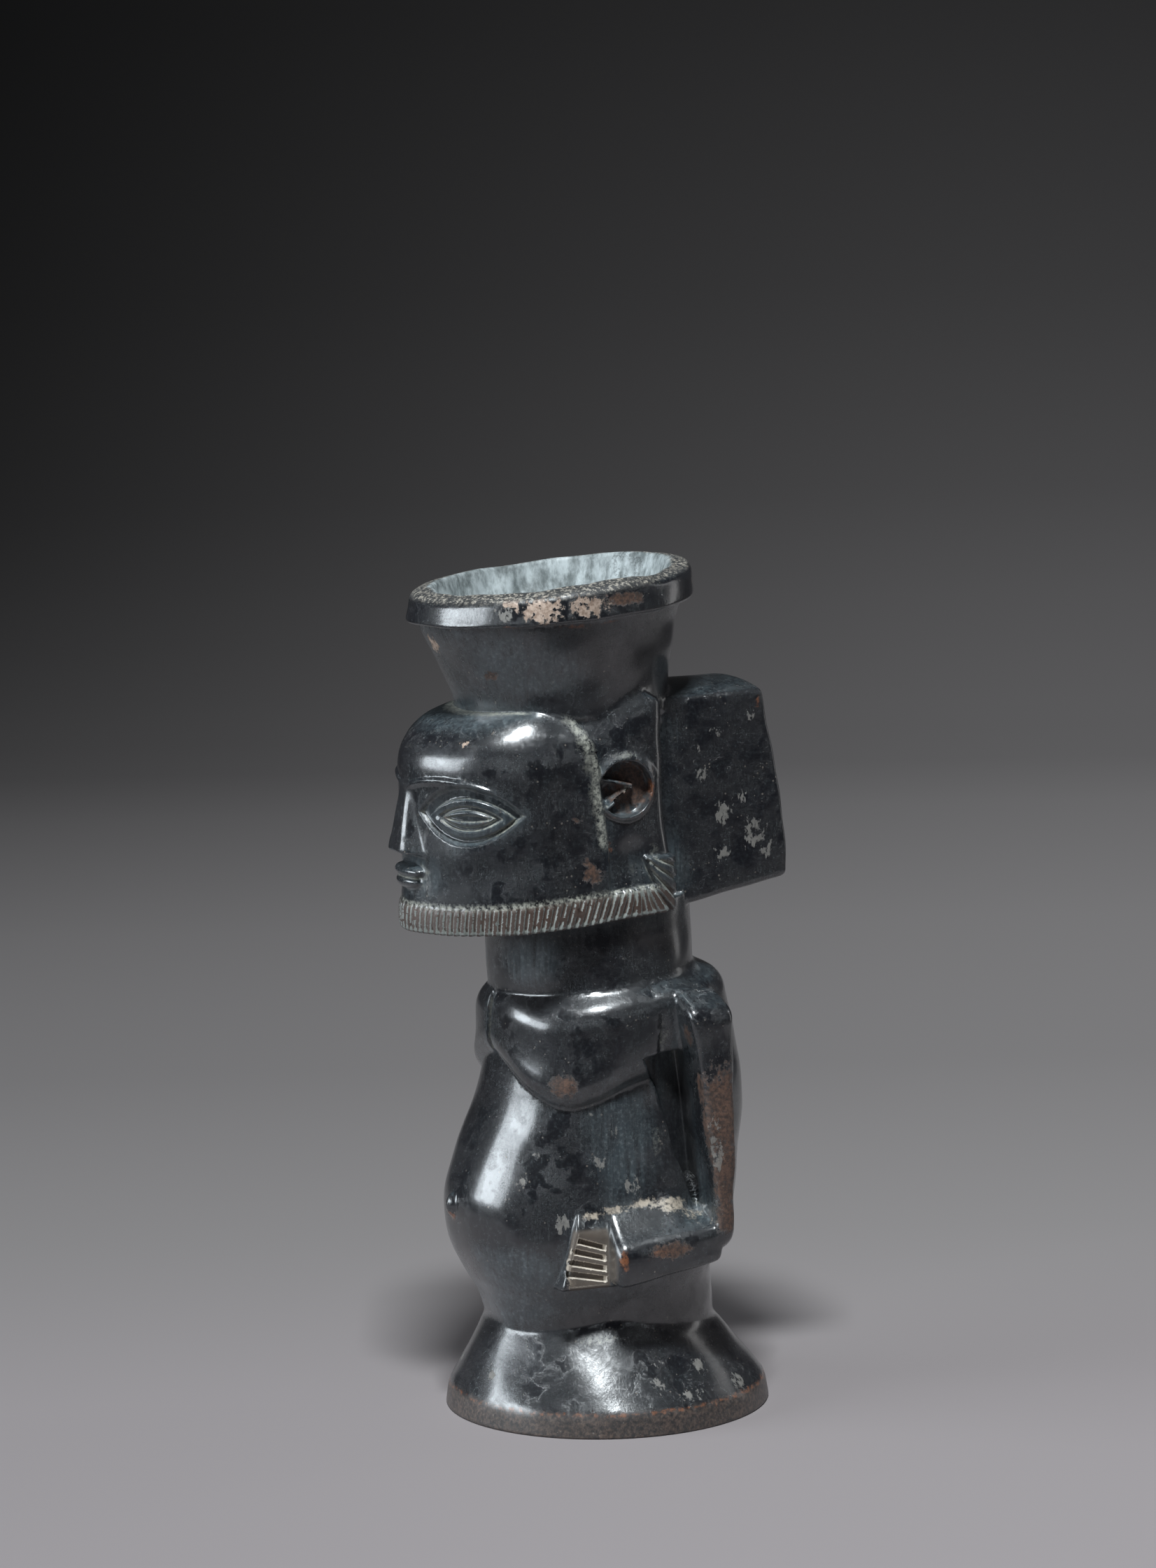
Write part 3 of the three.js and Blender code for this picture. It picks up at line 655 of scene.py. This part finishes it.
ORANGE_PLACES = [
    ((22.7, -26, 168.4), (1.6, 2.6, 0.6)), ((26.4, -14, 168.3), (2, 5.5, 0.6)),
    ((26.2, -6.4, 168.8), (2, 2.4, 0.5)), ((14.4, 31.2, 148.8), (1.6, 0.7, 2.2)),
    ((31.1, -8.2, 37), (1.2, 1.4, 2.8)), ((31.7, -1, 37.8), (1, 3.4, 0.9)),
    ((0, -34.6, 43), (2.4, 1.5, 2)), ((23, -6.4, 121.6), (1, 0.7, 2.6)),
    ((23.6, 3, 134), (1.5, 0.9, 4)), ((24, -7, 137.6), (2, 1.6, 1)),
]
FLAKE_PLACES = [
    ((14.4, 22, 143.2), (1, 1.7, 1.6)), ((14.5, 17.6, 139.4), (1, 1.2, 2.2)),
    ((14.6, 18.2, 134), (1, 1.8, 1.6)), ((14.6, 29.1, 146), (1, 1.2, 1.4)),
    ((14.5, 22.8, 125.4), (1, 2.2, 3)), ((14.5, 30, 121.4), (1, 2.8, 4)),
    ((14.6, 27, 129), (1, 1.6, 2.2)), ((14.6, 33, 117.4), (1, 1.8, 2.2)),
    ((14.5, 22.6, 117.6), (1, 2, 2)), ((22.2, -18.4, 44.2), (2, 2.2, 2.4)),
    ((17.1, -25, 52.7), (2, 2, 1.4)), ((21.8, -11.6, 66.2), (2, 1.4, 0.8)),
    ((23.2, -7, 62), (2, 1.2, 2.4)), ((23, -9.5, 56.5), (2, 2.2, 1.6)), ((23.6, -2.9, 51), (2, 2.4, 2)),
    ((30.3, -0.6, 9.8), (2.4, 1.6, 3)), ((26.4, 10.6, 12), (2.6, 2.4, 2.4)),
    ((31.4, 6, 7), (2, 3, 1.6)), ((25, 20, 7), (3, 2.4, 2.2)), ((8.5, -29.8, 10.2), (1.5, 1.4, 1.5)),
    ((27.6, 1, 13.6), (2.4, 2.4, 1.4)), ((22.4, -28, 171.4), (3, 3, 2)), ((24, -19, 80), (2, 1.4, 1)),
    ((30, 9.4, 45), (2, 3, 3)), ((17, -21, 58), (2, 2, 1)), ((32.6, 11.8, 58), (1, 2.4, 8)),
    ((31.6, 12, 8), (3, 5, 2)), ((0, 29, 62), (5, 3, 5)),
]
DUST_PLACES = [
    ((23.6, 3.2, 60), (1.6, 2.2, 4)), ((24, 6.6, 50.5), (1.6, 2, 3)), ((23.6, 3.8, 83), (2.2, 2, 5.5)),
    ((23.9, -12.4, 145), (2, 1.7, 3.4)), ((24.2, -11, 139.6), (2, 1.9, 4)),
    ((24.1, -9.8, 133), (2, 1.7, 4.8)), ((23.9, -8.2, 127), (2, 1.2, 3.6)),
    ((24.2, -3.2, 140.8), (1.4, 3.4, 1.2)), ((24.2, -1, 117.6), (1.5, 3.4, 3)),
    ((24.2, 3.4, 120.6), (1.4, 2, 2)), ((0, -28.5, 82), (1.5, 2, 6)), ((24, -7.6, 42), (2.5, 1.2, 2.5)),
    ((22, -12, 18.6), (3, 7, 1.4)),
]
# The haze place on the flank holds real haze. The places on the low belly, the waist and the wall under the
# cup paint the floor's grey reflection as sheen, and the place on the neck paints a soft highlight band.
HAZE_AND_SHEEN_PLACES = [
    ((23.5, -5, 60), (5, 7, 13)), ((14, -27, 33), (8, 10, 6)), ((8, -25, 25), (12, 8, 5)),
    ((20, -22, 160), (9, 10, 5)), ((12, -20, 98), (7, 6, 5)),
]
CREAM_PLACES = [
    ((23.8, -12.5, 45.4), (1.2, 3, 1)), ((24, -7, 46.2), (1.2, 4, 1.1)),
    ((24.2, 0, 47), (1.3, 4.4, 1.3)), ((24.8, 5, 46.2), (2.6, 5, 2)), ((28, 9, 44.6), (3.4, 2.2, 1.6)),
    ((25.4, 10.6, 45), (2, 2, 1.8)), ((31.4, 11.2, 43.4), (3, 1.6, 1)), ((24.8, -18, 36), (1.6, 1, 6)),
    ((24, -17.4, 32), (2, 1.2, 2)), ((27.6, -9.6, 31.4), (1.6, 1, 1.4)),
]


def mark(name, values):
    layer = mesh.attributes.new(name, "FLOAT", "POINT")
    layer.data.foreach_set("value", np.clip(values, 0, 1).astype(np.float32))


def bend(points, turn, steep, depth):
    """Above 0 in creases when the depth is positive, and on edges when it is negative."""
    return 1 - carving(points + depth * turn) / (depth * steep)


def spots(points, places):
    """How deep each point lies in the listed places, which are the same on both sides."""
    folded = np.column_stack((np.abs(points[:, 0]), points[:, 1:]))
    total = np.zeros(len(points))
    for middle, sizes in places:
        away = (folded - middle) / sizes
        total = np.maximum(total, SPOT_REACH - np.sqrt((away * away).sum(axis=1)))
    return np.clip(total, 0, 1)


slope = slope_of(points, carving(points))
steep = np.linalg.norm(slope, axis=1)
turn = slope / steep[:, None]
mark("crease", 1.5 * bend(points, turn, steep, 1.0) - 0.12)
mark("edge", 1.7 * bend(points, turn, steep, -0.7) - 0.1)
hollow = 1.3 * bend(points, turn, steep, 3.2) - 0.1
mark("hollow", hollow)

# A grey film spreads from the hollows and lies on what faces up. On what faces down, the same grey is a
# painted sheen that stands for the reflection of the pale floor.
film_and_sheen = np.clip(hollow, 0, 1)
a, b = edges.T
count = np.maximum(np.bincount(edges.ravel(), minlength=len(points)), 1)
for _ in range(FILM_PASSES):
    total = np.bincount(a, film_and_sheen[b], len(points)) + np.bincount(b, film_and_sheen[a], len(points))
    film_and_sheen = (1 - FILM_SPREAD) * film_and_sheen + FILM_SPREAD * total / count
film_and_sheen = 0.45 * ramp(turn[:, 2], 0.6, 0.9) + 0.3 * ramp(-turn[:, 2], 0.05, 0.5) + 1.5 * film_and_sheen
mark("film_and_sheen", film_and_sheen + 0.9 * spots(points, HAZE_AND_SHEEN_PLACES))
for name, places in (
    ("brown", BROWN_PLACES), ("pale", PALE_PLACES), ("flake", FLAKE_PLACES), ("dust", DUST_PLACES),
    ("cream", CREAM_PLACES),
):
    mark(name, spots(points, places))

# The foot's arris is rubbed to orange wood, and its upright edge below is bare.
ARRIS_Z = 4.9
HEM_TOP_Z = 5.1
side_x, y, z = np.abs(points[:, 0]), points[:, 1], points[:, 2]
arris = 0.8 * ramp(0.9 - np.abs(z - ARRIS_Z), 0, 0.6)
mark("orange", np.maximum(spots(points, ORANGE_PLACES), arris))
mark("hem", ramp(HEM_TOP_Z - z, 0, 0.5))

# Dust fills the fingers' channels, and their ridges also carry a painted highlight. The far end of the arm's
# slot is marked so that it stays black as painted shade.
grip = ramp(side_x, 23, 24) * ramp(-y, 9.2, 9.8) * ramp(y + 18.4, 0, 1)
mark("fingers", grip * ramp(z, 29.4, 30.6) * ramp(43.4 - z, 0, 1))
inside = ramp(side_x, 14, 15) * ramp(24.2 - side_x, 0, 1.2) * ramp(y, 2.5, 6.5) * ramp(14 - y, 0, 1)
mark("slot", inside * ramp(z, 44, 50) * ramp(77 - z, 0, 9))

# It also lies between the beard's strokes, on the ledge over them and along the hairline. The pale on the
# ledge is also a painted highlight, because the ledge faces up to the lamp. A level is a height that rises to
# the back as the beard does.
FRINGE_LOW_LEVEL = 106.2
FRINGE_HIGH_LEVEL = 113
LEDGE_LEVEL = 112.9
STRIP_WIDTH = 1.1
level = z - BEARD_SLOPE * y
fringe = ramp(level, FRINGE_LOW_LEVEL, FRINGE_LOW_LEVEL + 1) * ramp(FRINGE_HIGH_LEVEL - level, 0, 1)
mark("fringe", fringe * ramp(8.6 - y, 0, 1))
ledge = ramp(0.9 - np.abs(level - LEDGE_LEVEL), 0, 0.5) * ramp(6 - y, 0, 2)
strip = ramp(STRIP_WIDTH - np.abs(y - glide(z, HAIRLINE) + STRIP_WIDTH), 0, 0.5)
strip = strip * ramp(side_x, 14, 18) * ramp(z, 121, 124) * ramp(150 - z, 0, 2)
mark("strip", np.maximum(strip, ledge))

# The hollow of the cup is coated with a chalky crust, and its lip is worn down to bare wood.
rise, cup_radius, _ = cup_place(*points.T)
cup_hollow = cup(side_x, y, z, points[:, 0])[1]
mark("chalk", ramp(-cup_hollow, -0.9, -0.2) * ramp(rise, 2, 4))
mark("lip", ramp(rise, 25, 25.9) * ramp(cup_radius, 22.8, 24))


# The surface is one material. Its nodes are built from these: a node of any kind, sums, soft
# steps, blends of two colours, noise, and groups that hold an effect of their own.
def add(tree, kind, inputs=(), **settings):
    made = tree.nodes.new("ShaderNode" + kind)
    for name, value in settings.items():
        setattr(made, name, value)
    for socket, value in dict(inputs).items():
        if isinstance(value, bpy.types.NodeSocket):
            tree.links.new(value, made.inputs[socket])
        else:
            made.inputs[socket].default_value = value
    return made


def calc(tree, operation, first, second=0.0, third=0.0):
    return add(tree, "Math", {0: first, 1: second, 2: third}, operation=operation).outputs[0]


def between(tree, value, low, high):
    return add(tree, "MapRange", {0: value, 1: low, 2: high}, interpolation_type="SMOOTHSTEP").outputs[0]


def tint(tree, factor, low, high):
    return add(tree, "Mix", {0: factor, 6: low, 7: high}, data_type="RGBA").outputs[2]


def stretch(tree, vector, scale):
    return add(tree, "VectorMath", {0: vector, 1: scale}, operation="MULTIPLY").outputs[0]


def cloud(tree, vector, scale, detail=3.0, rough=0.55, twist=0.0):
    inputs = {"Vector": vector, "Scale": scale, "Detail": detail, "Roughness": rough, "Distortion": twist}
    return add(tree, "TexNoise", inputs).outputs[0]


def new_group(name, inputs, outputs):
    group = bpy.data.node_groups.new(name, "ShaderNodeTree")
    for socket in inputs:
        kind = "NodeSocketVector" if socket == "Vector" else "NodeSocketFloat"
        group.interface.new_socket(socket, in_out="INPUT", socket_type=kind)
    for socket in outputs:
        group.interface.new_socket(socket, in_out="OUTPUT", socket_type="NodeSocketFloat")
    return group, group.nodes.new("NodeGroupInput").outputs, group.nodes.new("NodeGroupOutput").inputs


def use(tree, group, inputs):
    return add(tree, "Group", inputs, node_tree=group).outputs


# Stain, crust and wood break away unevenly. A ragged patch fills a marked place, breaks up at its
# border and is nowhere else.
ragged, given, result = new_group("ragged patch", ["Vector", "Amount", "Scale", "Softness"], ["Mask"])
uneven = calc(ragged, "MULTIPLY_ADD", cloud(ragged, given["Vector"], given["Scale"], 6, 0.7), 2.4, -1.75)
height = calc(ragged, "ADD", uneven, given["Amount"])
inner = between(ragged, height, 0.0, given["Softness"])
there = between(ragged, given["Amount"], 0.02, 0.12)
ragged.links.new(calc(ragged, "MULTIPLY", inner, there), result["Mask"])

# The grain of the wood runs upright, as close pores and fine streaks. The faint facets that the
# blade left lie over it.
grain, given, result = new_group("wood grain", ["Vector"], ["Pores", "Streaks", "Facets"])
pores = cloud(grain, stretch(grain, given["Vector"], (2.6, 2.6, 0.45)), 1, 3, 0.6)
grain.links.new(between(grain, pores, 0.46, 0.68), result["Pores"])
streaks = cloud(grain, stretch(grain, given["Vector"], (0.9, 0.9, 0.07)), 1, 4, 0.65, 0.4)
grain.links.new(streaks, result["Streaks"])
cuts = {"Vector": stretch(grain, given["Vector"], (0.2, 0.2, 0.13)), "Scale": 1.0, "Smoothness": 0.35}
facets = add(grain, "TexVoronoi", cuts, feature="SMOOTH_F1").outputs["Distance"]
grain.links.new(facets, result["Facets"])

# Fine scratches from handling cross the polish in all directions. Between them sit tiny specks of
# dirt and bare wood.
SCRATCH_DIRECTIONS = ((0.25, 3.4, 1.2), (2.2, 0.3, 2.6), (3.1, 1.6, 0.2), (0.3, 1.4, 3.3), (2.4, 2.4, 0.12))
scratches, given, result = new_group("fine scratches", ["Vector"], ["Lines", "Specks"])
total = 0.0
for direction in SCRATCH_DIRECTIONS:
    lines = cloud(scratches, stretch(scratches, given["Vector"], direction), 1.1, 1, 0.5, 1.4)
    off_line = calc(scratches, "ABSOLUTE", calc(scratches, "SUBTRACT", lines, 0.5))
    total = calc(scratches, "MAXIMUM", total, between(scratches, off_line, 0.009, 0.001))
broken = between(scratches, cloud(scratches, given["Vector"], 0.2, 3), 0.36, 0.72)
scratches.links.new(calc(scratches, "MULTIPLY", total, broken), result["Lines"])
dots = add(scratches, "TexVoronoi", {"Vector": given["Vector"], "Scale": 0.75}).outputs["Distance"]
few = between(scratches, cloud(scratches, given["Vector"], 0.16, 2), 0.44, 0.66)
size = calc(scratches, "MULTIPLY", few, 0.19)
speck = between(scratches, calc(scratches, "SUBTRACT", size, dots), 0.0, 0.05)
scratches.links.new(calc(scratches, "MULTIPLY", speck, few), result["Specks"])

# The single material of the carving is wood, stained black and rubbed until the skin shines. The
# oily polish is a thin clear coat, and every pattern is laid out in millimetres.
wood = bpy.data.materials.new("wood")
wood.use_nodes = True
tree = wood.node_tree
shader = tree.nodes["Principled BSDF"]
shader.inputs["Coat Roughness"].default_value = 0.16
shader.inputs["Coat IOR"].default_value = 1.5
shader.inputs["Specular IOR Level"].default_value = 1.0
metres = add(tree, "TexCoord").outputs["Object"]
place = add(tree, "VectorMath", {0: metres, "Scale": 1000.0}, operation="SCALE").outputs[0]
upright = stretch(tree, place, (1.0, 1.0, 0.55))


def marked(name, share=1.0):
    return times(add(tree, "Attribute", attribute_name=name, attribute_type="GEOMETRY").outputs["Fac"], share)


def times(first, second):
    return calc(tree, "MULTIPLY", first, second)


def most(*amounts):
    largest = amounts[0]
    for amount in amounts[1:]:
        largest = calc(tree, "MAXIMUM", largest, amount)
    return largest


def patch(amount, scale, softness, vector=place):
    inputs = {"Vector": vector, "Amount": amount, "Scale": scale, "Softness": softness}
    return use(tree, ragged, inputs)["Mask"]


def tones(by, dark, light):
    return tint(tree, by, (*dark, 1), (*light, 1))


woody = use(tree, grain, {"Vector": place})
fine = use(tree, scratches, {"Vector": place})
fleck = cloud(tree, place, 1.3, 5, 0.7)
broad = cloud(tree, place, 0.12, 3, 0.5)
mottle = cloud(tree, stretch(tree, place, (0.35, 0.35, 0.16)), 1, 5, 0.65)
stray = cloud(tree, stretch(tree, place, (1.1, 1.1, 0.8)), 1, 5, 0.7)
edge, fringe, fingers = marked("edge"), marked("fringe"), marked("fingers")
chalk, lip, hem = marked("chalk"), marked("lip"), marked("hem")
# This is 1 outside the arm's slot and falls to 0 inside it, so that the slot stays black as painted shade.
outside_slot_shade = calc(tree, "SUBTRACT", 1.0, marked("slot"))

# Each mask says where something lies on the skin, where the skin is rubbed through, or where sheen is
# painted. Dust and haze keep out of the slot between the arm and the body, which is left black as painted
# shade.
brown = patch(marked("brown", 1.15), 0.75, 0.4)
pale = patch(marked("pale", 0.85), 0.8, 0.15)
orange = patch(most(marked("orange"), times(edge, 0.5)), 0.8, 0.6)
flake = most(patch(marked("flake", 0.72), 0.8, 0.1, upright), between(tree, stray, 0.71, 0.73))
settled = most(marked("dust"), marked("crease", 1.35), marked("hollow", 0.35))
# The strip mark carries the hairline's dust and the beard's ledge, whose pale is dust and also a painted
# highlight.
hairline_dust_and_ledge_highlight = times(marked("strip"), between(tree, fleck, 0.38, 0.62))
dust = most(patch(times(settled, outside_slot_shade), 1.1, 1.2), hairline_dust_and_ledge_highlight)
cream = patch(marked("cream"), 1.0, 0.5)
# Haze is real film in the hollows and on what faces up. On what faces down and at the sheen places it is
# painted sheen, and the speckled grime follows it.
haze_and_sheen = calc(tree, "MULTIPLY_ADD", marked("film_and_sheen"), 0.9, calc(tree, "MULTIPLY_ADD", broad, 0.8, -0.38))
haze_and_sheen = times(between(tree, haze_and_sheen, 0.0, 1.0), calc(tree, "MULTIPLY_ADD", woody["Streaks"], 2.4, -0.6))
haze_and_sheen = times(haze_and_sheen, outside_slot_shade)
grime_and_sheen = times(between(tree, fleck, 0.47, 0.72), calc(tree, "MULTIPLY_ADD", haze_and_sheen, 0.85, 0.14))
ridge = calc(tree, "MULTIPLY_ADD", fleck, 0.6, edge)

# The colour is laid over the black in the order of the list, which gives for each layer where it
# is, how strongly it covers and its colour.
brown_tones = tones(between(tree, fleck, 0.35, 0.65), (0.03, 0.016, 0.011), (0.16, 0.08, 0.048))
hem_tones = tones(between(tree, fleck, 0.35, 0.7), (0.014, 0.012, 0.012), (0.15, 0.1, 0.075))
fringe_tones = tones(between(tree, ridge, 0.4, 0.75), (0.085, 0.042, 0.025), (0.33, 0.36, 0.34))
# On the fingers the channels are tan dust. The cream on the ridges is pale dust and also a painted highlight
# on their lit tops.
finger_dust_and_highlight_tones = tones(between(tree, edge, 0.1, 0.4), (0.13, 0.1, 0.075), (0.72, 0.64, 0.54))
pale_tones = tones(between(tree, fleck, 0.3, 0.7), (0.25, 0.16, 0.11), (0.6, 0.46, 0.37))
lip_tones = tones(between(tree, fleck, 0.48, 0.62), (0.02, 0.02, 0.02), (0.42, 0.38, 0.32))
chalk_tones = tones(between(tree, mottle, 0.3, 0.7), (0.08, 0.1, 0.1), (0.5, 0.55, 0.56))
colour = tones(broad, (0.005, 0.007, 0.011), (0.012, 0.011, 0.012))
for cover, share, cover_colour in (
    (haze_and_sheen, 0.75, (0.085, 0.115, 0.13, 1)),
    (grime_and_sheen, 1, (0.16, 0.19, 0.2, 1)),
    (fine["Lines"], 0.16, (0.3, 0.34, 0.34, 1)),
    (brown, 0.85, brown_tones),
    (hem, 0.75, hem_tones),
    (orange, 0.75, (0.3, 0.11, 0.045, 1)),
    (flake, 0.75, tones(fleck, (0.1, 0.095, 0.09), (0.42, 0.4, 0.36))),
    (dust, 0.85, tones(fleck, (0.17, 0.185, 0.16), (0.6, 0.59, 0.5))),
    (cream, 0.85, tones(fleck, (0.3, 0.25, 0.19), (0.7, 0.6, 0.48))),
    (fringe, 0.7, fringe_tones),
    (fingers, 0.85, finger_dust_and_highlight_tones),
    (fine["Specks"], 0.35, (0.38, 0.33, 0.28, 1)),
    (pale, 1, pale_tones),
    (lip, 0.85, lip_tones),
    (chalk, 1, chalk_tones),
):
    colour = tint(tree, times(cover, share), colour, cover_colour)

# Bare and dusty places are dull, and the clear coat has gone from them and from the scratches.
bare = most(brown, pale, flake, dust, cream, chalk, lip, fingers)
# The marked slot is also dulled and loses its coat, which keeps its painted shade dark.
bare = most(bare, times(hem, 0.7), times(fringe, 0.8), marked("slot", 0.6))
roughness = calc(tree, "MULTIPLY_ADD", fleck, 0.08, 0.22)
roughness = calc(tree, "MULTIPLY_ADD", haze_and_sheen, 0.1, roughness)
roughness = calc(tree, "MULTIPLY_ADD", bare, 0.35, roughness)
coating = calc(tree, "MULTIPLY_ADD", most(bare, times(fine["Lines"], 0.7)), -0.85, 0.85)

# The relief of each mark is given in millimetres, and a negative one is cut or worn into the
# skin.
relief = 0.0
for cover, height in (
    (woody["Pores"], -0.006), (woody["Streaks"], 0.04), (woody["Facets"], 0.014), (fine["Lines"], -0.034),
    (fleck, 0.008), (flake, 0.05), (brown, -0.08), (pale, -0.1),
):
    relief = calc(tree, "MULTIPLY_ADD", cover, height, relief)
skin = add(tree, "Bump", {"Height": relief, "Distance": 0.001, "Strength": 1.0}).outputs[0]
tree.links.new(colour, shader.inputs["Base Color"])
tree.links.new(roughness, shader.inputs["Roughness"])
tree.links.new(coating, shader.inputs["Coat Weight"])
tree.links.new(skin, shader.inputs["Normal"])
mesh.materials.append(wood)

# The figure stands on a pale sheet of paper, which runs level behind it and then sweeps up. The sheet is
# drawn out from its front edge. Its grey is painted darker far behind and to one side, as a painted falloff
# of the light.
VIEW_BEARING = np.radians(68)
SHEET_HALF_WIDTH = 0.4
SHEET_FRONT = 0.22
SHEET_LEVEL = 1.0
SHEET_CURVE = 0.7
SHEET_CURVE_STEPS = 16
SHEET_UPRIGHT = 0.9
SHEET_DEPTH = 3.0
PAPER_WARMTH = (1.075, 0.995, 0.985)
PAPER_PAINTED_FALLOFF_GREYS = (
    (0.05, 0.27), (0.12, 0.245), (0.2, 0.28), (0.29, 0.284), (0.375, 0.228), (0.43, 0.178),
    (0.475, 0.13), (0.55, 0.083), (0.64, 0.047),
)
away = Vector((-np.sin(VIEW_BEARING), np.cos(VIEW_BEARING), 0))
across = Vector((-away.y, away.x, 0))
sheet = bmesh.new()
front = [sheet.verts.new(across * SHEET_HALF_WIDTH * hand_side - away * SHEET_FRONT) for hand_side in (-1, 1)]


def draw_out(edge, move):
    """Lengthens the sheet from its last edge, and returns the new last edge."""
    grown = bmesh.ops.extrude_edge_only(sheet, edges=[edge])["geom"]
    corners = [part for part in grown if isinstance(part, bmesh.types.BMVert)]
    bmesh.ops.translate(sheet, verts=corners, vec=move)
    return next(part for part in corners[0].link_edges if part.other_vert(corners[0]) == corners[1])


last = draw_out(sheet.edges.new(front), away * SHEET_FRONT)
last = draw_out(last, away * SHEET_LEVEL)
turned = bmesh.ops.spin(
    sheet, geom=[last], cent=away * SHEET_LEVEL + Vector((0, 0, SHEET_CURVE)), axis=across,
    angle=-np.pi / 2, steps=SHEET_CURVE_STEPS,
)["geom_last"]
last = next(part for part in turned if isinstance(part, bmesh.types.BMEdge))
draw_out(last, Vector((0, 0, SHEET_UPRIGHT)))
floor_mesh = bpy.data.meshes.new("floor")
sheet.to_mesh(floor_mesh)
sheet.free()
floor_mesh.shade_smooth()
floor = bpy.data.objects.new("floor", floor_mesh)
bpy.context.scene.collection.objects.link(floor)

paper = bpy.data.materials.new("paper")
paper.use_nodes = True
tree = paper.node_tree
shader = tree.nodes["Principled BSDF"]
where = add(tree, "TexCoord").outputs["Object"]
far = add(tree, "VectorMath", {0: where, 1: away}, operation="DOT_PRODUCT").outputs["Value"]
high = add(tree, "SeparateXYZ", {0: where}).outputs["Z"]
along = calc(tree, "DIVIDE", calc(tree, "ADD", far, high), SHEET_DEPTH)
# The grey ramp paints the light falling off behind the figure and up the sweep.
shade = add(tree, "ValToRGB", {0: along})
stops = shade.color_ramp.elements
stops[0].color = (0.335, 0.302, 0.306, 1)
stops[1].color = (0.03, 0.03, 0.03, 1)
for at, grey in PAPER_PAINTED_FALLOFF_GREYS:
    stops.new(at).color = (*[grey * part for part in PAPER_WARMTH], 1)
# Painted shade also darkens the far paper towards one side, where less light falls.
sideways = add(tree, "VectorMath", {0: where, 1: across}, operation="DOT_PRODUCT").outputs["Value"]
painted_side_shade = {0: along, 1: 0.05, 2: 0.5, 3: 0.33, 4: 0.88}
painted_side_shade = add(tree, "MapRange", painted_side_shade, interpolation_type="SMOOTHSTEP").outputs[0]
painted_falloff = calc(tree, "SUBTRACT", 1.0, calc(tree, "MULTIPLY", painted_side_shade, between(tree, sideways, -0.35, 0.45)))
shaded = add(tree, "VectorMath", {0: shade.outputs[0], "Scale": painted_falloff}, operation="SCALE").outputs[0]
tree.links.new(shaded, shader.inputs["Base Color"])
shader.inputs["Roughness"].default_value = 0.8
shader.inputs["Specular IOR Level"].default_value = 0.1
floor_mesh.materials.append(paper)

# The camera looks a little down on the figure's left side from a metre away. Its lens is as long
# as LENS_DOTS on a picture that is PICTURE_HEIGHT dots high.
CAMERA_PLACE = Vector((0.92566, -0.37769, 0.27117))
CAMERA_TARGET = Vector((0, -0.0037, 0.1321))
CAMERA_ROLL = np.radians(-1.25)
PICTURE_HEIGHT = 2241
LENS_DOTS = 6884
camera_data = bpy.data.cameras.new("camera")
camera_data.sensor_fit = "VERTICAL"
camera_data.sensor_height = 36
camera_data.lens = camera_data.sensor_height * LENS_DOTS / PICTURE_HEIGHT
camera = bpy.data.objects.new("camera", camera_data)
bpy.context.scene.collection.objects.link(camera)
camera.location = CAMERA_PLACE
looking = (CAMERA_TARGET - CAMERA_PLACE).to_track_quat("-Z", "Y")
camera.rotation_euler = (looking @ Quaternion((0, 0, 1), CAMERA_ROLL)).to_euler()
bpy.context.scene.camera = camera

# A soft lamp high above the camera draws the shadow, and a long low one stands at the figure's
# front. A weak tall strip behind the figure lines the edges of its back.
LAMP_AIM = Vector((0, 0, 0.09))


def soft_light(name, bearing, height_angle, distance, width, height, power, colour):
    """Bearing is counted from the figure's front towards its left, in degrees."""
    turn_to, lift = np.radians(bearing), np.radians(height_angle)
    towards = Vector((np.sin(turn_to) * np.cos(lift), -np.cos(turn_to) * np.cos(lift), np.sin(lift)))
    lamp = bpy.data.lights.new(name, "AREA")
    lamp.shape = "RECTANGLE"
    lamp.size = width
    lamp.size_y = height
    lamp.energy = power
    lamp.color = colour
    holder = bpy.data.objects.new(name, lamp)
    holder.location = towards * distance + LAMP_AIM
    holder.rotation_euler = towards.to_track_quat("Z", "Y").to_euler()
    bpy.context.scene.collection.objects.link(holder)


soft_light("key light", 66, 63.5, 1.5, 0.25, 0.18, 29, (0.9, 0.965, 1))
soft_light("front light", -8, 14.5, 1.15, 0.92, 0.34, 8.5, (0.86, 0.94, 1))
soft_light("edge light", 180, 12, 1.2, 0.2, 0.9, 0.7, (1, 1, 1))
world = bpy.data.worlds.new("room")
world.use_nodes = True
world.node_tree.nodes["Background"].inputs["Color"].default_value = (0.025, 0.025, 0.028, 1)
bpy.context.scene.world = world
bpy.context.scene.view_settings.view_transform = "Standard"
